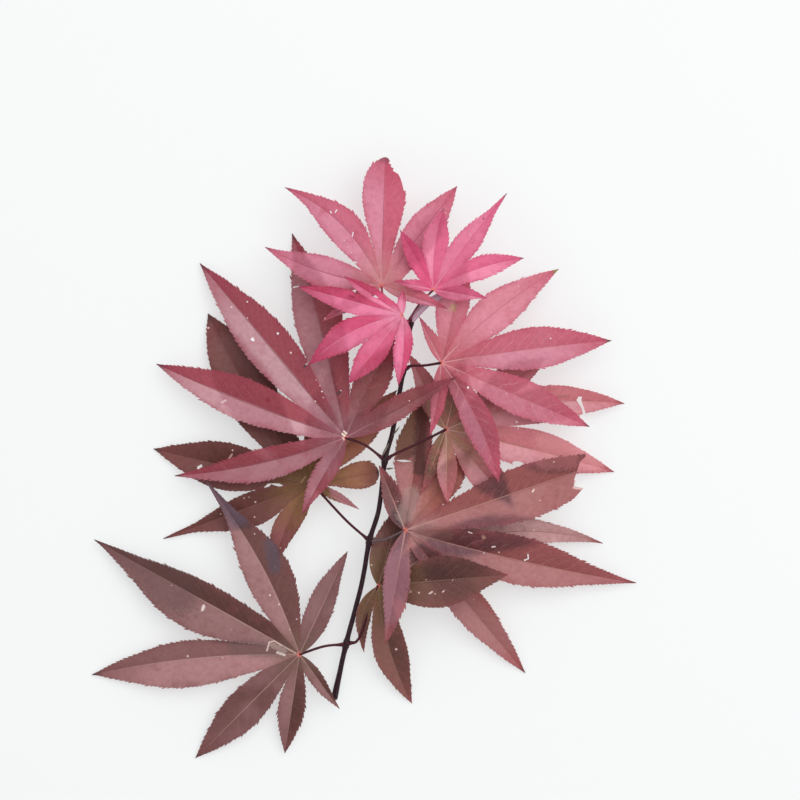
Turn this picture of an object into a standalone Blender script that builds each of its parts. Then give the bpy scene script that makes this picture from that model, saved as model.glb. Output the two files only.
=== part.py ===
"""A cut sprig of purple-leaved Japanese maple, lying on a level surface.

One thin stem carries five pairs of palmate leaves and ends in a young shoot. It rests on its cut end
and on the drooping tips of its lowest leaves. Lengths in the tables are millimetres, and places are
measured from the middle of the sprig as it is laid out: +X to the right, +Y towards the tip, +Z up.
"""

import math
from typing import NamedTuple

import bmesh
import bpy
from mathutils import Vector

MM = 0.001

# The sprig is moved by this much, so that the origin is on the surface under the middle of its box.
LAYOUT_TO_ORIGIN = Vector((14.44, 23.35, -0.08))

BLADE_THICKNESS = 1.2
FOLD_SLOPE = 0.20
DROOP_POWER = 1.15
LANCE_RISE = 2.0
LANCE_FALL = 1.6
OUTER_RISE = 0.9
BLEND_POWER = 3
DEEPEST_SINUS = 0.5
FUSED_ROWS = 3
FREE_ROWS = 7

PETIOLE_RADIUS = 0.55
PETIOLE_POINTS = 9
HUB_SINK = 0.25
SEAT_GAP = 0.3

CUT_RADIUS = 1.3
TIP_RADIUS = 0.9
NODE_SWELL = 0.45
NODE_SWELL_REACH = 2.2
STEM_POINTS = 44
SHOOT_FOOT_RADIUS = 1.1
SHOOT_RADIUS = 1.5
TUBE_BEVEL_RESOLUTION = 2

WELD_DISTANCE = 0.01

STEM_PATH = [
    (-26.4, -120.0, 1.35),
    (-21.6, -98.0, 6.0),
    (-15.5, -74.4, 10.3),
    (-12.2, -56.4, 13.5),
    (-8.4, -43.6, 15.3),
    (-6.0, -24.0, 18.0),
    (-2.8, -12.0, 19.2),
    (1.4, 12.0, 21.8),
    (4.4, 31.2, 25.0),
]
STEM_NODES = {
    "first": (-21.6, -98.0, 6.0),
    "second": (-12.2, -56.4, 13.5),
    "third": (-6.0, -24.0, 18.0),
    "fourth": (1.4, 12.0, 21.8),
    "tip": (4.4, 31.2, 25.0),
}
SHOOT_PATH = [
    (4.4, 31.2, 25.0),
    (7.2, 34.8, 24.8),
    (11.0, 38.6, 24.6),
    (15.0, 41.1, 24.4),
    (18.0, 44.0, 24.3),
]

# Each bud: its middle, its half-lengths along and across, and the turn of its long axis from +X.
BUDS = {
    "axillary_bud": ((-5.9, -20.4, 19.6), 2.4, 1.3, 105.0),
    "leaf_scar_stub": ((-4.0, -27.2, 17.9), 1.7, 0.7, 0.0),
    "bud_spur": ((-3.0, -11.8, 19.6), 2.6, 0.7, 55.0),
}


class Lobe(NamedTuple):
    """One lobe of a leaf. Its tip is given from the leaf's hub, and its height from the surface.

    The blade is whole as far as the sinus, a share of the length, on the side of the next lobe. A positive
    bow curves the midrib to the left of the way from hub to tip, and a positive lean widens the left half.
    A large rise is a narrow base, and a small fall a blunt tip. A droop under 1 takes the lobe to its
    tip's height early on.
    """

    tip_x: float
    tip_y: float
    tip_height: float
    width: float
    sinus: float = 0.22
    bow: float = 0.0
    lean: float = 0.0
    rise: float = LANCE_RISE
    fall: float = LANCE_FALL
    droop: float = DROOP_POWER


class Leaf(NamedTuple):
    """One leaf. Its lobes run counter-clockwise, seen from above, all the way round from the petiole."""

    stem_node: str
    hub: tuple
    petiole: list
    colour: tuple
    lobes: list


LEAVES = {
    "leaf_top": Leaf(
        stem_node="fourth",
        hub=(-7.4, 45.6, 25.5),
        petiole=[(-1.4, 16.0, 22.5), (-3.2, 22.0, 23.0), (-6.2, 36.0, 24.4)],
        colour=(0.50, 0.12, 0.18),
        lobes=[
            Lobe(26.2, -9.4, 33.0, 4.8, droop=1.6),
            Lobe(30.3, 40.0, 14.0, 13.0, sinus=0.24),
            Lobe(1.4, 51.6, 12.0, 16.8, fall=0.8),
            Lobe(-38.8, 39.5, 13.0, 13.0, sinus=0.19, bow=-5.8, fall=2.0),
            Lobe(-46.6, 15.6, 15.0, 11.6, bow=2.2, fall=2.0),
            Lobe(-24.0, -14.5, 20.0, 5.0),
        ],
    ),
    "leaf_tip_left": Leaf(
        stem_node="tip",
        hub=(0.9, 33.8, 31.0),
        petiole=[(1.8, 31.5, 26.6), (0.6, 32.4, 28.8)],
        colour=(0.62, 0.09, 0.20),
        lobes=[
            Lobe(0.3, 9.8, 32.0, 3.4, sinus=0.3, fall=1.1),
            Lobe(-23.0, 15.4, 29.0, 5.2, sinus=0.42),
            Lobe(-41.6, 11.4, 27.0, 8.0, sinus=0.4),
            Lobe(-37.2, -19.8, 25.5, 11.0, sinus=0.32, bow=-3.4),
            Lobe(-21.6, -27.4, 25.5, 10.0, sinus=0.25),
            Lobe(-1.6, -28.2, 26.0, 7.2, bow=1.2),
        ],
    ),
    "leaf_tip_right": Leaf(
        stem_node="tip",
        hub=(13.2, 43.8, 28.8),
        petiole=[(4.1, 32.6, 26.9), (7.6, 38.0, 27.0)],
        colour=(0.60, 0.09, 0.19),
        lobes=[
            Lobe(21.4, -3.2, 27.6, 5.6, sinus=0.3),
            Lobe(36.2, 12.7, 26.0, 8.8, sinus=0.41, bow=2.2),
            Lobe(29.5, 38.7, 24.0, 9.4, sinus=0.48, bow=0.4, fall=2.4),
            Lobe(4.2, 32.6, 26.0, 10.4, sinus=0.37, bow=1.5),
            Lobe(-13.2, 24.0, 28.0, 6.0, sinus=0.3),
            Lobe(-15.6, 3.4, 32.5, 3.2, droop=0.6),
        ],
    ),
    "leaf_right_upper": Leaf(
        stem_node="fourth",
        hub=(16.4, 14.8, 26.5),
        petiole=[(4.6, 13.6, 23.0), (10.0, 13.8, 25.0)],
        colour=(0.52, 0.11, 0.17),
        lobes=[
            Lobe(-4.6, -29.2, 22.0, 5.4, bow=0.8),
            Lobe(23.1, -47.7, 20.5, 11.2, sinus=0.25, bow=3.0),
            Lobe(59.5, -25.5, 12.0, 14.0, sinus=0.2),
            Lobe(68.4, 9.0, 9.0, 16.0, sinus=0.23, bow=1.0),
            Lobe(47.2, 37.7, 10.0, 15.2, sinus=0.26, bow=2.4, rise=1.5),
            Lobe(10.2, 42.1, 18.0, 12.6, sinus=0.36, lean=0.15, droop=0.7),
            Lobe(-8.8, 18.6, 21.0, 3.6),
        ],
    ),
    "leaf_left_large": Leaf(
        stem_node="third",
        hub=(-21.8, -15.0, 20.0),
        petiole=[(-14.0, -18.0, 19.4)],
        colour=(0.40, 0.12, 0.17),
        lobes=[
            Lobe(44.2, 24.0, 31.0, 8.8, sinus=0.26),
            Lobe(20.7, 39.8, 19.0, 13.0, sinus=0.24, bow=1.0),
            Lobe(-21.6, 82.0, 0.7, 18.0, sinus=0.36, bow=-1.4),
            Lobe(-58.7, 70.0, 1.5, 17.4, sinus=0.27),
            Lobe(-76.1, 29.5, 5.0, 15.6, sinus=0.17, bow=1.4, lean=-0.1),
            Lobe(-68.6, -15.4, 8.0, 11.4, bow=2.6, lean=0.15, fall=1.9),
            Lobe(-17.6, -31.0, 12.0, 8.0),
        ],
    ),
    "leaf_left_lower": Leaf(
        stem_node="second",
        hub=(-35.2, -33.6, 7.5),
        petiole=[(-22.0, -47.8, 10.6)],
        colour=(0.22, 0.07, 0.06),
        lobes=[
            Lobe(18.8, -10.2, 8.0, 3.6),
            Lobe(26.8, 4.8, 9.0, 10.8, fall=0.7),
            Lobe(34.0, 37.6, 10.0, 12.4),
            Lobe(8.8, 49.2, 9.0, 12.0),
            Lobe(-42.0, 68.4, 1.0, 20.4, bow=2.6, fall=1.3),
            Lobe(-64.0, 14.0, 0.7, 18.4, bow=0.8),
            Lobe(-60.0, -22.2, 0.7, 14.0, lean=0.2, rise=1.7, fall=2.5),
            Lobe(-15.7, -36.0, 3.0, 10.0, bow=-2.5),
        ],
    ),
    "leaf_bottom_left": Leaf(
        stem_node="first",
        hub=(-40.3, -102.0, 9.0),
        petiole=[(-30.5, -98.8, 8.2)],
        colour=(0.27, 0.13, 0.12),
        lobes=[
            Lobe(19.3, 41.4, 8.0, 10.0, sinus=0.19),
            Lobe(-37.5, 69.6, 10.0, 17.0, sinus=0.2, bow=-3.4, lean=-0.12, fall=2.5),
            Lobe(-82.6, 45.9, 3.0, 19.0, sinus=0.16, lean=0.35, fall=2.0),
            Lobe(-83.6, -8.5, 0.7, 17.6, bow=-2.5, lean=0.2),
            Lobe(-42.0, -42.0, 0.7, 14.0),
            Lobe(-6.0, -40.0, 2.0, 10.0),
            Lobe(16.0, -22.0, 5.0, 5.0),
        ],
    ),
    "leaf_right_lower": Leaf(
        stem_node="second",
        hub=(2.0, -52.1, 16.5),
        petiole=[(-6.0, -55.8, 15.2)],
        colour=(0.33, 0.12, 0.15),
        lobes=[
            Lobe(-7.8, -45.4, 21.5, 10.4, sinus=0.12, droop=0.6),
            Lobe(48.4, -57.7, 0.7, 12.4, droop=0.9),
            Lobe(93.0, -21.4, 2.0, 18.0, bow=-1.7, fall=2.0, droop=0.9),
            Lobe(70.4, 24.1, 15.0, 19.0, sinus=0.24, lean=-0.14, rise=1.1, fall=0.4),
            Lobe(28.0, 34.0, 6.0, 12.0, sinus=0.32, droop=0.7),
            Lobe(8.0, 55.3, 5.0, 14.0, sinus=0.25, lean=0.17, droop=0.7),
            Lobe(-10.4, 26.1, 21.0, 8.0),
        ],
    ),
    "leaf_bottom_right": Leaf(
        stem_node="first",
        hub=(-8.8, -74.4, 13.2),
        petiole=[(-17.4, -96.8, 6.8), (-15.0, -92.4, 8.4), (-12.4, -84.0, 10.8)],
        colour=(0.20, 0.09, 0.06),
        lobes=[
            Lobe(-5.6, -27.0, 5.0, 5.6, bow=-3.6),
            Lobe(13.6, -47.6, 0.7, 12.4, sinus=0.15, bow=-2.6),
            Lobe(52.0, 4.8, 25.0, 20.0, sinus=0.1, rise=1.5),
            Lobe(90.4, 16.8, 3.0, 14.0, bow=12.0, fall=1.8, droop=0.5),
            Lobe(10.4, 36.8, 4.0, 13.6),
        ],
    ),
    "leaf_right_middle": Leaf(
        stem_node="third",
        hub=(18.4, -11.8, 13.5),
        petiole=[(-2.0, -21.6, 18.3), (6.0, -17.9, 17.2), (12.0, -15.0, 15.4)],
        colour=(0.26, 0.13, 0.08),
        lobes=[
            Lobe(-10.0, -25.8, 14.0, 5.6),
            Lobe(0.6, -29.5, 17.5, 7.8),
            Lobe(27.6, -31.4, 8.0, 12.8, sinus=0.36),
            Lobe(67.7, -17.1, 0.7, 15.0, sinus=0.35, bow=0.8),
            Lobe(71.8, 10.4, 3.0, 14.0, sinus=0.42, bow=4.8, rise=2.2),
            Lobe(40.8, 29.0, 6.0, 11.4, lean=0.3, rise=3.0),
            Lobe(7.0, 30.0, 13.0, 9.0),
            Lobe(-15.2, 30.6, 13.0, 8.8),
        ],
    ),
}


def clear_scene():
    for thing in list(bpy.data.objects):
        bpy.data.objects.remove(thing, do_unlink=True)


def material(name, colour, roughness):
    made = bpy.data.materials.new(name)
    made.use_nodes = True
    shader = made.node_tree.nodes["Principled BSDF"]
    shader.inputs["Base Color"].default_value = (*colour, 1.0)
    shader.inputs["Roughness"].default_value = roughness
    shader.inputs["Metallic"].default_value = 0.0
    made.diffuse_color = (*colour, 1.0)
    return made


def placed(point):
    """A place in the layout, in millimetres, as scene coordinates."""
    return (Vector(point) + LAYOUT_TO_ORIGIN) * MM


def lance(along, rise, fall):
    """A lanceolate half-width that grows as along^rise, ends as (1 - along)^fall, and is 1 at its widest."""
    widest = rise / (rise + fall)
    along = min(max(along, 0.0), 1.0)
    return (along / widest) ** rise * ((1 - along) / (1 - widest)) ** fall


class LobeFrame:
    """A lobe's midrib, its two margins, and the two points where it meets its neighbours."""

    def __init__(self, lobe, hub_height):
        self.lobe = lobe
        self.hub_height = hub_height
        reach = Vector((lobe.tip_x, lobe.tip_y))
        self.length = reach.length
        self.ahead = reach / self.length
        self.left = Vector((-self.ahead.y, self.ahead.x))
        # On each side: the share of the lobe, the half-width and the height where the blade's sinus lies.
        self.sinus = {1: (0.0, 0.0, hub_height), -1: (0.0, 0.0, hub_height)}
        self.fused = {1: False, -1: False}

    def height(self, along):
        return self.hub_height + (self.lobe.tip_height - self.hub_height) * along**self.lobe.droop

    def sideways(self, along):
        return self.lobe.bow * 4 * along * (1 - along)

    def at(self, along, aside, height):
        """The place a share of the way along the lobe, aside to the left of its straight line."""
        flat = self.ahead * (along * self.length) + self.left * aside
        return Vector((flat.x, flat.y, height))

    def bearing_at(self, reach):
        """The way from the hub to the midrib's point at this reach."""
        spot = self.midrib(reach / self.length)
        return math.atan2(spot.y, spot.x)

    def join(self, side, spot, height):
        """Meets the neighbour on this side at a sinus, a flat place from the hub."""
        self.sinus[side] = (spot.dot(self.ahead) / self.length, side * spot.dot(self.left), height)
        self.fused[side] = True

    def fused_share(self):
        joined = [self.sinus[side][0] for side in (1, -1) if self.fused[side]]
        return sum(joined) / len(joined)

    def fused_margin(self, side, share):
        """The margin inside the fused blade: on the line shared with the neighbour, or on the outer edge."""
        if not self.fused[side]:
            return self.free_margin_at(side, self.fused_share() * share, 0.0)
        along, aside, height = self.sinus[side]
        risen = self.hub_height + (height - self.hub_height) * share
        return self.at(along * share, side * aside * share, risen)

    def free_margin_at(self, side, along, fade):
        """The free margin a share of the way along. A fade of 1 draws it to the sinus, and 0 not at all."""
        half = self.lobe.width / 2 * (1 + side * self.lobe.lean)
        if self.fused[side]:
            start, aside, height = self.sinus[side]
            sinus_wide = aside - side * self.sideways(start)
            wide = half * lance(along, self.lobe.rise, self.lobe.fall)
            wide += fade * (sinus_wide - half * lance(start, self.lobe.rise, self.lobe.fall))
            rise = FOLD_SLOPE * wide + fade * (height - self.height(start) - FOLD_SLOPE * sinus_wide)
        else:
            wide = half * lance(along, OUTER_RISE, self.lobe.fall)
            rise = FOLD_SLOPE * wide
        return self.at(along, self.sideways(along) + side * wide, self.height(along) + rise)

    def free_margin(self, side, share):
        start = self.sinus[side][0] if self.fused[side] else self.fused_share()
        return self.free_margin_at(side, start + share * (1 - start), (1 - share) ** BLEND_POWER)

    def midrib(self, along):
        return self.at(along, self.sideways(along), self.height(along))

    def point(self, row_share, across):
        """The blade's middle surface: row_share 0 to 1 from hub to tip, across -1 to 1 from right to left."""
        side = 1 if across >= 0 else -1
        fused_end = FUSED_ROWS / (FUSED_ROWS + FREE_ROWS)
        if row_share <= fused_end:
            share = row_share / fused_end
            middle = self.midrib(self.fused_share() * share)
            margin = self.fused_margin(side, share)
        else:
            share = (row_share - fused_end) / (1 - fused_end)
            start = self.fused_share()
            middle = self.midrib(start + share * (1 - start))
            margin = self.free_margin(side, share)
        return middle.lerp(margin, abs(across))


def lobe_frames(leaf):
    """The lobes' frames, with each pair of neighbours joined as far as the sinus between them."""
    frames = [LobeFrame(lobe, leaf.hub[2]) for lobe in leaf.lobes]
    for right, left in zip(frames, frames[1:]):
        mean_length = (left.length + right.length) / 2
        reach = min(right.lobe.sinus * mean_length, DEEPEST_SINUS * left.length, DEEPEST_SINUS * right.length)
        start, end = right.bearing_at(reach), left.bearing_at(reach)
        half_turn = ((end - start) % math.tau) / 2
        spot = Vector((math.cos(start + half_turn), math.sin(start + half_turn))) * reach
        ahead, aside = reach * math.cos(half_turn), reach * math.sin(half_turn)
        height = sum(frame.height(ahead / frame.length) for frame in (left, right)) / 2 + FOLD_SLOPE * aside
        right.join(1, spot, height)
        left.join(-1, spot, height)
    return frames


def add_lobe(blade, frame, hub):
    """A grid for one lobe, its rows carried from the hub to the tip."""
    rows = FUSED_ROWS + FREE_ROWS
    made = bmesh.ops.create_grid(blade, x_segments=2, y_segments=rows, size=1.0)
    for vertex in made["verts"]:
        across, row_share = vertex.co.x, (vertex.co.y + 1) / 2
        vertex.co = frame.point(row_share, across) + Vector((hub[0], hub[1], 0.0))


def blade_object(name, leaf):
    blade = bmesh.new()
    for frame in lobe_frames(leaf):
        add_lobe(blade, frame, leaf.hub)
    bmesh.ops.remove_doubles(blade, verts=blade.verts, dist=WELD_DISTANCE)
    bmesh.ops.dissolve_degenerate(blade, edges=blade.edges, dist=WELD_DISTANCE)
    bmesh.ops.triangulate(blade, faces=blade.faces)
    bmesh.ops.recalc_face_normals(blade, faces=blade.faces)
    for vertex in blade.verts:
        vertex.co = placed(vertex.co)
    mesh = bpy.data.meshes.new(name)
    blade.to_mesh(mesh)
    blade.free()
    made = bpy.data.objects.new(name, mesh)
    shell = made.modifiers.new("thickness", "SOLIDIFY")
    shell.thickness = BLADE_THICKNESS * MM
    shell.offset = 0.0
    return made


def smooth_path(points, count):
    """Catmull-Rom points through the given ones, evenly spread over their stretches."""
    points = [Vector(point) for point in points]
    ends = [2 * points[0] - points[1], *points, 2 * points[-1] - points[-2]]
    path = []
    for step in range(count):
        whole = step / (count - 1) * (len(points) - 1)
        stretch = min(int(whole), len(points) - 2)
        share = whole - stretch
        before, start, end, after = ends[stretch : stretch + 4]
        path.append(
            0.5
            * (
                2 * start
                + (end - before) * share
                + (2 * before - 5 * start + 4 * end - after) * share**2
                + (3 * start - before - 3 * end + after) * share**3
            )
        )
    return path


def tube_object(name, path, radii):
    """A round tube with filled caps, made a mesh with its caps welded on."""
    curve = bpy.data.curves.new(name, "CURVE")
    curve.dimensions = "3D"
    curve.bevel_depth = MM
    curve.bevel_resolution = TUBE_BEVEL_RESOLUTION
    curve.use_fill_caps = True
    line = curve.splines.new("POLY")
    line.points.add(len(path) - 1)
    for spot, place, radius in zip(line.points, path, radii):
        spot.co = (*placed(place), 1.0)
        spot.radius = radius
    guide = bpy.data.objects.new(name + "_curve", curve)
    bpy.context.scene.collection.objects.link(guide)
    bpy.context.view_layer.update()
    graph = bpy.context.evaluated_depsgraph_get()
    mesh = bpy.data.meshes.new_from_object(guide.evaluated_get(graph))
    made = bpy.data.objects.new(name, mesh)
    made.matrix_world = guide.matrix_world
    bpy.data.objects.remove(guide, do_unlink=True)
    shape = bmesh.new()
    shape.from_mesh(mesh)
    bmesh.ops.remove_doubles(shape, verts=shape.verts, dist=WELD_DISTANCE * MM)
    bmesh.ops.recalc_face_normals(shape, faces=shape.faces)
    shape.to_mesh(mesh)
    shape.free()
    return made


def stem_radius(place):
    """The stem's radius: an even taper from the cut end, with a swelling round each leaf pair's node."""
    base, top = STEM_PATH[0][1], STEM_PATH[-1][1]
    share = (place[1] - base) / (top - base)
    radius = CUT_RADIUS + (TIP_RADIUS - CUT_RADIUS) * share
    for node in STEM_NODES.values():
        away = (Vector(place) - Vector(node)).length
        radius += NODE_SWELL * math.exp(-((away / NODE_SWELL_REACH) ** 2))
    return radius


def petiole_path(leaf):
    """From just clear of the stem to the hub, where it ends inside the blade."""
    node = Vector(STEM_NODES[leaf.stem_node])
    hub = Vector(leaf.hub) - Vector((0, 0, HUB_SINK))
    first = Vector(leaf.petiole[0]) if leaf.petiole else hub
    away = (first - node).normalized()
    foot = node + away * (stem_radius(node) + SEAT_GAP + PETIOLE_RADIUS / 2)
    return smooth_path([foot, *leaf.petiole, hub], PETIOLE_POINTS)


def bud_object(name, middle, half_length, half_width, turn):
    """A pointed-oval bud: a sphere stretched along its axis."""
    shape = bmesh.new()
    bmesh.ops.create_uvsphere(shape, u_segments=8, v_segments=6, radius=1.0)
    direction = Vector((math.cos(math.radians(turn)), math.sin(math.radians(turn)), 0.0))
    spin = Vector((0, 0, 1)).rotation_difference(direction)
    for vertex in shape.verts:
        stretched = Vector((vertex.co.x * half_width, vertex.co.y * half_width, vertex.co.z * half_length))
        vertex.co = placed(spin @ stretched + Vector(middle))
    mesh = bpy.data.meshes.new(name)
    shape.to_mesh(mesh)
    shape.free()
    return bpy.data.objects.new(name, mesh)


def joined(name, pieces, part_collection, finish):
    """One solid from several, by one Boolean union that also clears where a thick blade crosses itself."""
    first, others = pieces[0], pieces[1:]
    part_collection.objects.link(first)
    first.name = name
    first.data.materials.append(finish)
    if others:
        group = bpy.data.collections.new(name + "_pieces")
        bpy.context.scene.collection.children.link(group)
        for piece in others:
            group.objects.link(piece)
        union = first.modifiers.new("union", "BOOLEAN")
        union.operation = "UNION"
        union.operand_type = "COLLECTION"
        union.collection = group
        union.solver = "EXACT"
        union.use_self = True
    bpy.context.view_layer.update()
    graph = bpy.context.evaluated_depsgraph_get()
    mesh = bpy.data.meshes.new_from_object(first.evaluated_get(graph))
    first.modifiers.clear()
    first.data = mesh
    mesh.name = name
    if others:
        for piece in others:
            bpy.data.objects.remove(piece, do_unlink=True)
        bpy.data.collections.remove(group)
    return first


def build_leaf(name, leaf, part_collection):
    path = petiole_path(leaf)
    pieces = [blade_object(name, leaf), tube_object(name + "_petiole", path, [PETIOLE_RADIUS] * len(path))]
    joined(name, pieces, part_collection, material(name, leaf.colour, 0.5))


def build_stem(part_collection):
    path = smooth_path(STEM_PATH, STEM_POINTS)
    pieces = [tube_object("stem", path, [stem_radius(place) for place in path])]
    for name, (middle, half_length, half_width, turn) in BUDS.items():
        pieces.append(bud_object(name, middle, half_length, half_width, turn))
    joined("stem", pieces, part_collection, material("stem", (0.05, 0.02, 0.025), 0.45))


def build_shoot(part_collection):
    """The young shoot, clear of the stem's end face, thickest half-way along."""
    start, onward = Vector(SHOOT_PATH[0]), Vector(SHOOT_PATH[1])
    foot = start + (onward - start).normalized() * (SEAT_GAP + SHOOT_FOOT_RADIUS / 2)
    path = smooth_path([foot, *SHOOT_PATH[1:]], PETIOLE_POINTS)
    bulge = SHOOT_RADIUS - SHOOT_FOOT_RADIUS
    last = len(path) - 1
    radii = [SHOOT_FOOT_RADIUS + bulge * math.sin(math.pi * step / last) for step in range(len(path))]
    shoot = tube_object("young_shoot", path, radii)
    joined("young_shoot", [shoot], part_collection, material("young_shoot", (0.25, 0.12, 0.16), 0.5))


def main():
    clear_scene()
    part_collection = bpy.data.collections.new("maple_sprig")
    bpy.context.scene.collection.children.link(part_collection)
    build_stem(part_collection)
    build_shoot(part_collection)
    for name, leaf in LEAVES.items():
        build_leaf(name, leaf, part_collection)


main()
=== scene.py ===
"""The looks of a cut Japanese maple sprig: toothed and veined blades, petioles, stem, buds and young shoot.

The tables and the rule for a leaf's lobes are the solid part's own. Lengths in them are millimetres, and
places are measured from the middle of the sprig as it is laid out: +X right, +Y towards the tip, +Z up.
"""

import math
from typing import NamedTuple

import bpy
import numpy as np
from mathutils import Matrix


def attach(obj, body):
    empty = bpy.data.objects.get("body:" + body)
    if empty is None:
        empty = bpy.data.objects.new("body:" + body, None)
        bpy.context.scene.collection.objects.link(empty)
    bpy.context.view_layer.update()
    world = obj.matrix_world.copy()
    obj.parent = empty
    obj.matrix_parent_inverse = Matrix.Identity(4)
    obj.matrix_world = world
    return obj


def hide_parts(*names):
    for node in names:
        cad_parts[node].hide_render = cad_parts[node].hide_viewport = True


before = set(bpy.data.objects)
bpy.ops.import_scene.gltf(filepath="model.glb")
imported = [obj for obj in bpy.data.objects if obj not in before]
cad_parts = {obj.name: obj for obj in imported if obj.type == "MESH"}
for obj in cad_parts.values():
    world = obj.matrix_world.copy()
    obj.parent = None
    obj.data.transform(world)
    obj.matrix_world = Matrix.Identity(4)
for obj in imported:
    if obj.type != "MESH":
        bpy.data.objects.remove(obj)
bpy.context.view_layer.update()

MM = 0.001

# The same move as the solid part's, from the layout to the surface it lies on.
LAYOUT_TO_ORIGIN = np.array([14.44, 23.35, -0.08])

# The solid part's rule for a lobe.
FOLD_SLOPE = 0.20
DROOP_POWER = 1.15
LANCE_RISE = 2.0
LANCE_FALL = 1.6
OUTER_RISE = 0.9
BLEND_POWER = 3
DEEPEST_SINUS = 0.5

# What the looks add to it: the grid of a lobe, its relief and the thickness of the blade.
BLADE_THICKNESS = 0.34
SHARP_ANGLE = 42
FUSED_ROWS = 20
ACROSS_SHARES = np.array([0.0, 0.07, 0.22, 0.42, 0.62, 0.80, 0.92, 1.0])
COLUMNS = 2 * len(ACROSS_SHARES) - 1
PILLOW = 0.22
QUILT = 0.06
WAVE_HEIGHT = 0.22
WAVE_LENGTH = 17.0
WAVE_BEGINS = (0.0, 0.25)
WAVE_ENDS = (0.85, 1.0)
VEIN_SPACING = 5.2
VEIN_SLANT = 0.85
VEIN_CURVE = 0.05

# Teeth. A spread is the least and most that a random share of the usual size can be.
TOOTH_LENGTH = 1.8
FEWEST_TEETH = 3
TOOTH_DEPTH = 0.62
TOOTH_GROWTH = 0.75
TOOTH_LEAN = 0.9
TOOTH_PHASES = np.array([0.0, 0.42, 0.76, 0.97])
TOOTH_RISE = np.array([0.0, 0.46, 0.80, 1.0])
TOOTH_FORWARD = np.array([0.0, 0.06, 0.25, 1.0])
GROWTH_POWER = 1.5
LENGTH_SPREAD = (0.7, 1.3)
DEPTH_SPREAD = (0.6, 1.25)
TEETH_IN_A_RUN = 4
FIRST_IN_RUN = 1.5
REST_OF_RUN = 0.85
NOTCH_SHARE = 0.35
TEETH_BEGIN = (0.0, 0.07)
TEETH_END = (0.93, 1.0)
DEEPEST_SHARE = 0.25
DEEPEST_LEAST = 0.12
TIP_BLUNTNESS = 0.26
TIP_BEGINS = (0.75, 0.95)
FULL_HALF_WIDTH = 6.0
TRAVEL_STEP = 0.002
NEARLY_NOTHING = 1e-9

# The way to the soft light, on the plan: the half of a lobe that faces it is painted with the leaf's light
# colour, painted light and sheen, and the half turned away with its dark colour, painted shade.
LIGHT_WAY = np.array([0.707, 0.707])

# The edges of slits and holes, and the heights between which a wound's cutter reaches.
SLIT_POINTS = 7
HOLE_POINTS = 11
EDGE_SPREAD = (0.8, 1.2)
CUTTER_BOTTOM = -60.0
CUTTER_TOP = 90.0

# The petioles, from the two places that each starts at, measured from its stem node.
PETIOLE_STARTS = (0.7, 1.9)
PETIOLE_RADIUS = 0.52
PETIOLE_FOOT_RADIUS = 0.95
PETIOLE_FOOT_REACH = 2.2
PETIOLE_HEAD_RISE = 0.12
PETIOLE_HEAD_REACH = 1.6
PETIOLE_ROWS = 90
PETIOLE_SIDES = 16
HUB_SINK = 0.25

# The stem, the shoot and the buds. A ridge is its count round the stem and its height, which swings as it
# goes along, and a ring is its offset from the node along +Y and its height.
STEM_ROWS = 760
STEM_SIDES = 40
STEM_RIDGES = ((3, 0.035), (7, 0.022), (13, 0.014))
RIDGE_TWIST = 3.0
RIDGE_SWING = 0.6
RIDGE_SWINGS = (9, 17)
RIDGE_TURN = 6.0
NODE_RINGS = ((-1.0, 0.10), (1.3, 0.13))
RING_WIDTH = 0.28
CUT_RADIUS = 1.3
CUT_FLARE_REACH = 9.0
LOW_RADIUS = 1.0
TIP_RADIUS = 0.9
NODE_SWELL = 0.45
NODE_SWELL_REACH = 2.2
SHOOT_FOOT_RADIUS = 1.1
SHOOT_RADIUS = 1.5
SHOOT_ROWS = 120
SHOOT_SIDES = 28
BUD_ROWS = 26
BUD_SIDES = 18
BUD_ENDS = (0.02, 0.98)
BUD_LIFT = 0.3
BUD_POWER = 0.8
BUD_FOOT_SHARE = 1.15
BUD_THINNING = 0.45

# The rounded ends of a tube: how far a cap goes out, in radii, and the turns of its rows in radians.
CAP_REACH = 0.35
CAP_TURNS = (0.5, 0.85, 1.2)

STEM_PATH = [
    (-26.4, -120.0, 1.35),
    (-21.6, -98.0, 6.0),
    (-15.5, -74.4, 10.3),
    (-12.2, -56.4, 13.5),
    (-8.4, -43.6, 15.3),
    (-6.0, -24.0, 18.0),
    (-2.8, -12.0, 19.2),
    (1.4, 12.0, 21.8),
    (4.4, 31.2, 25.0),
]
NODE_PLACES = {"first": 1, "second": 3, "third": 5, "fourth": 7, "tip": 8}
STEM_NODES = {name: STEM_PATH[place] for name, place in NODE_PLACES.items()}
SHOOT_PATH = [
    STEM_NODES["tip"],
    (7.2, 34.8, 24.8),
    (11.0, 38.6, 24.6),
    (15.0, 41.1, 24.4),
    (18.0, 44.0, 24.3),
]

# Each bud, slimmer than the solid part's: its middle, its half-lengths along and across, and the turn of
# its long axis from +X in degrees.
BUDS = {
    "axillary_bud": ((-5.8, -19.8, 19.6), 3.2, 0.5, 62.0),
    "leaf_scar_stub": ((-4.1, -27.4, 17.9), 1.7, 0.45, 5.0),
    "bud_spur": ((-1.5, -12.4, 19.6), 2.5, 0.36, 52.0),
}


class Lobe(NamedTuple):
    """One lobe of a leaf. Its tip is given from the leaf's hub, and its height from the surface.

    The blade is whole as far as the sinus, a share of the length, on the side of the next lobe. A positive
    bow curves the midrib to the left of the way from hub to tip, and a positive lean widens the left half.
    A large rise is a narrow base, and a small fall a blunt tip. A droop under 1 takes the lobe to its
    tip's height early on.
    """

    tip_x: float
    tip_y: float
    tip_height: float
    width: float
    sinus: float = 0.22
    bow: float = 0.0
    lean: float = 0.0
    rise: float = LANCE_RISE
    fall: float = LANCE_FALL
    droop: float = DROOP_POWER


class Leaf(NamedTuple):
    """One leaf. Its lobes run counter-clockwise, seen from above, all the way round from the petiole."""

    stem_node: str
    hub: tuple
    petiole: list
    lobes: list


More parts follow.
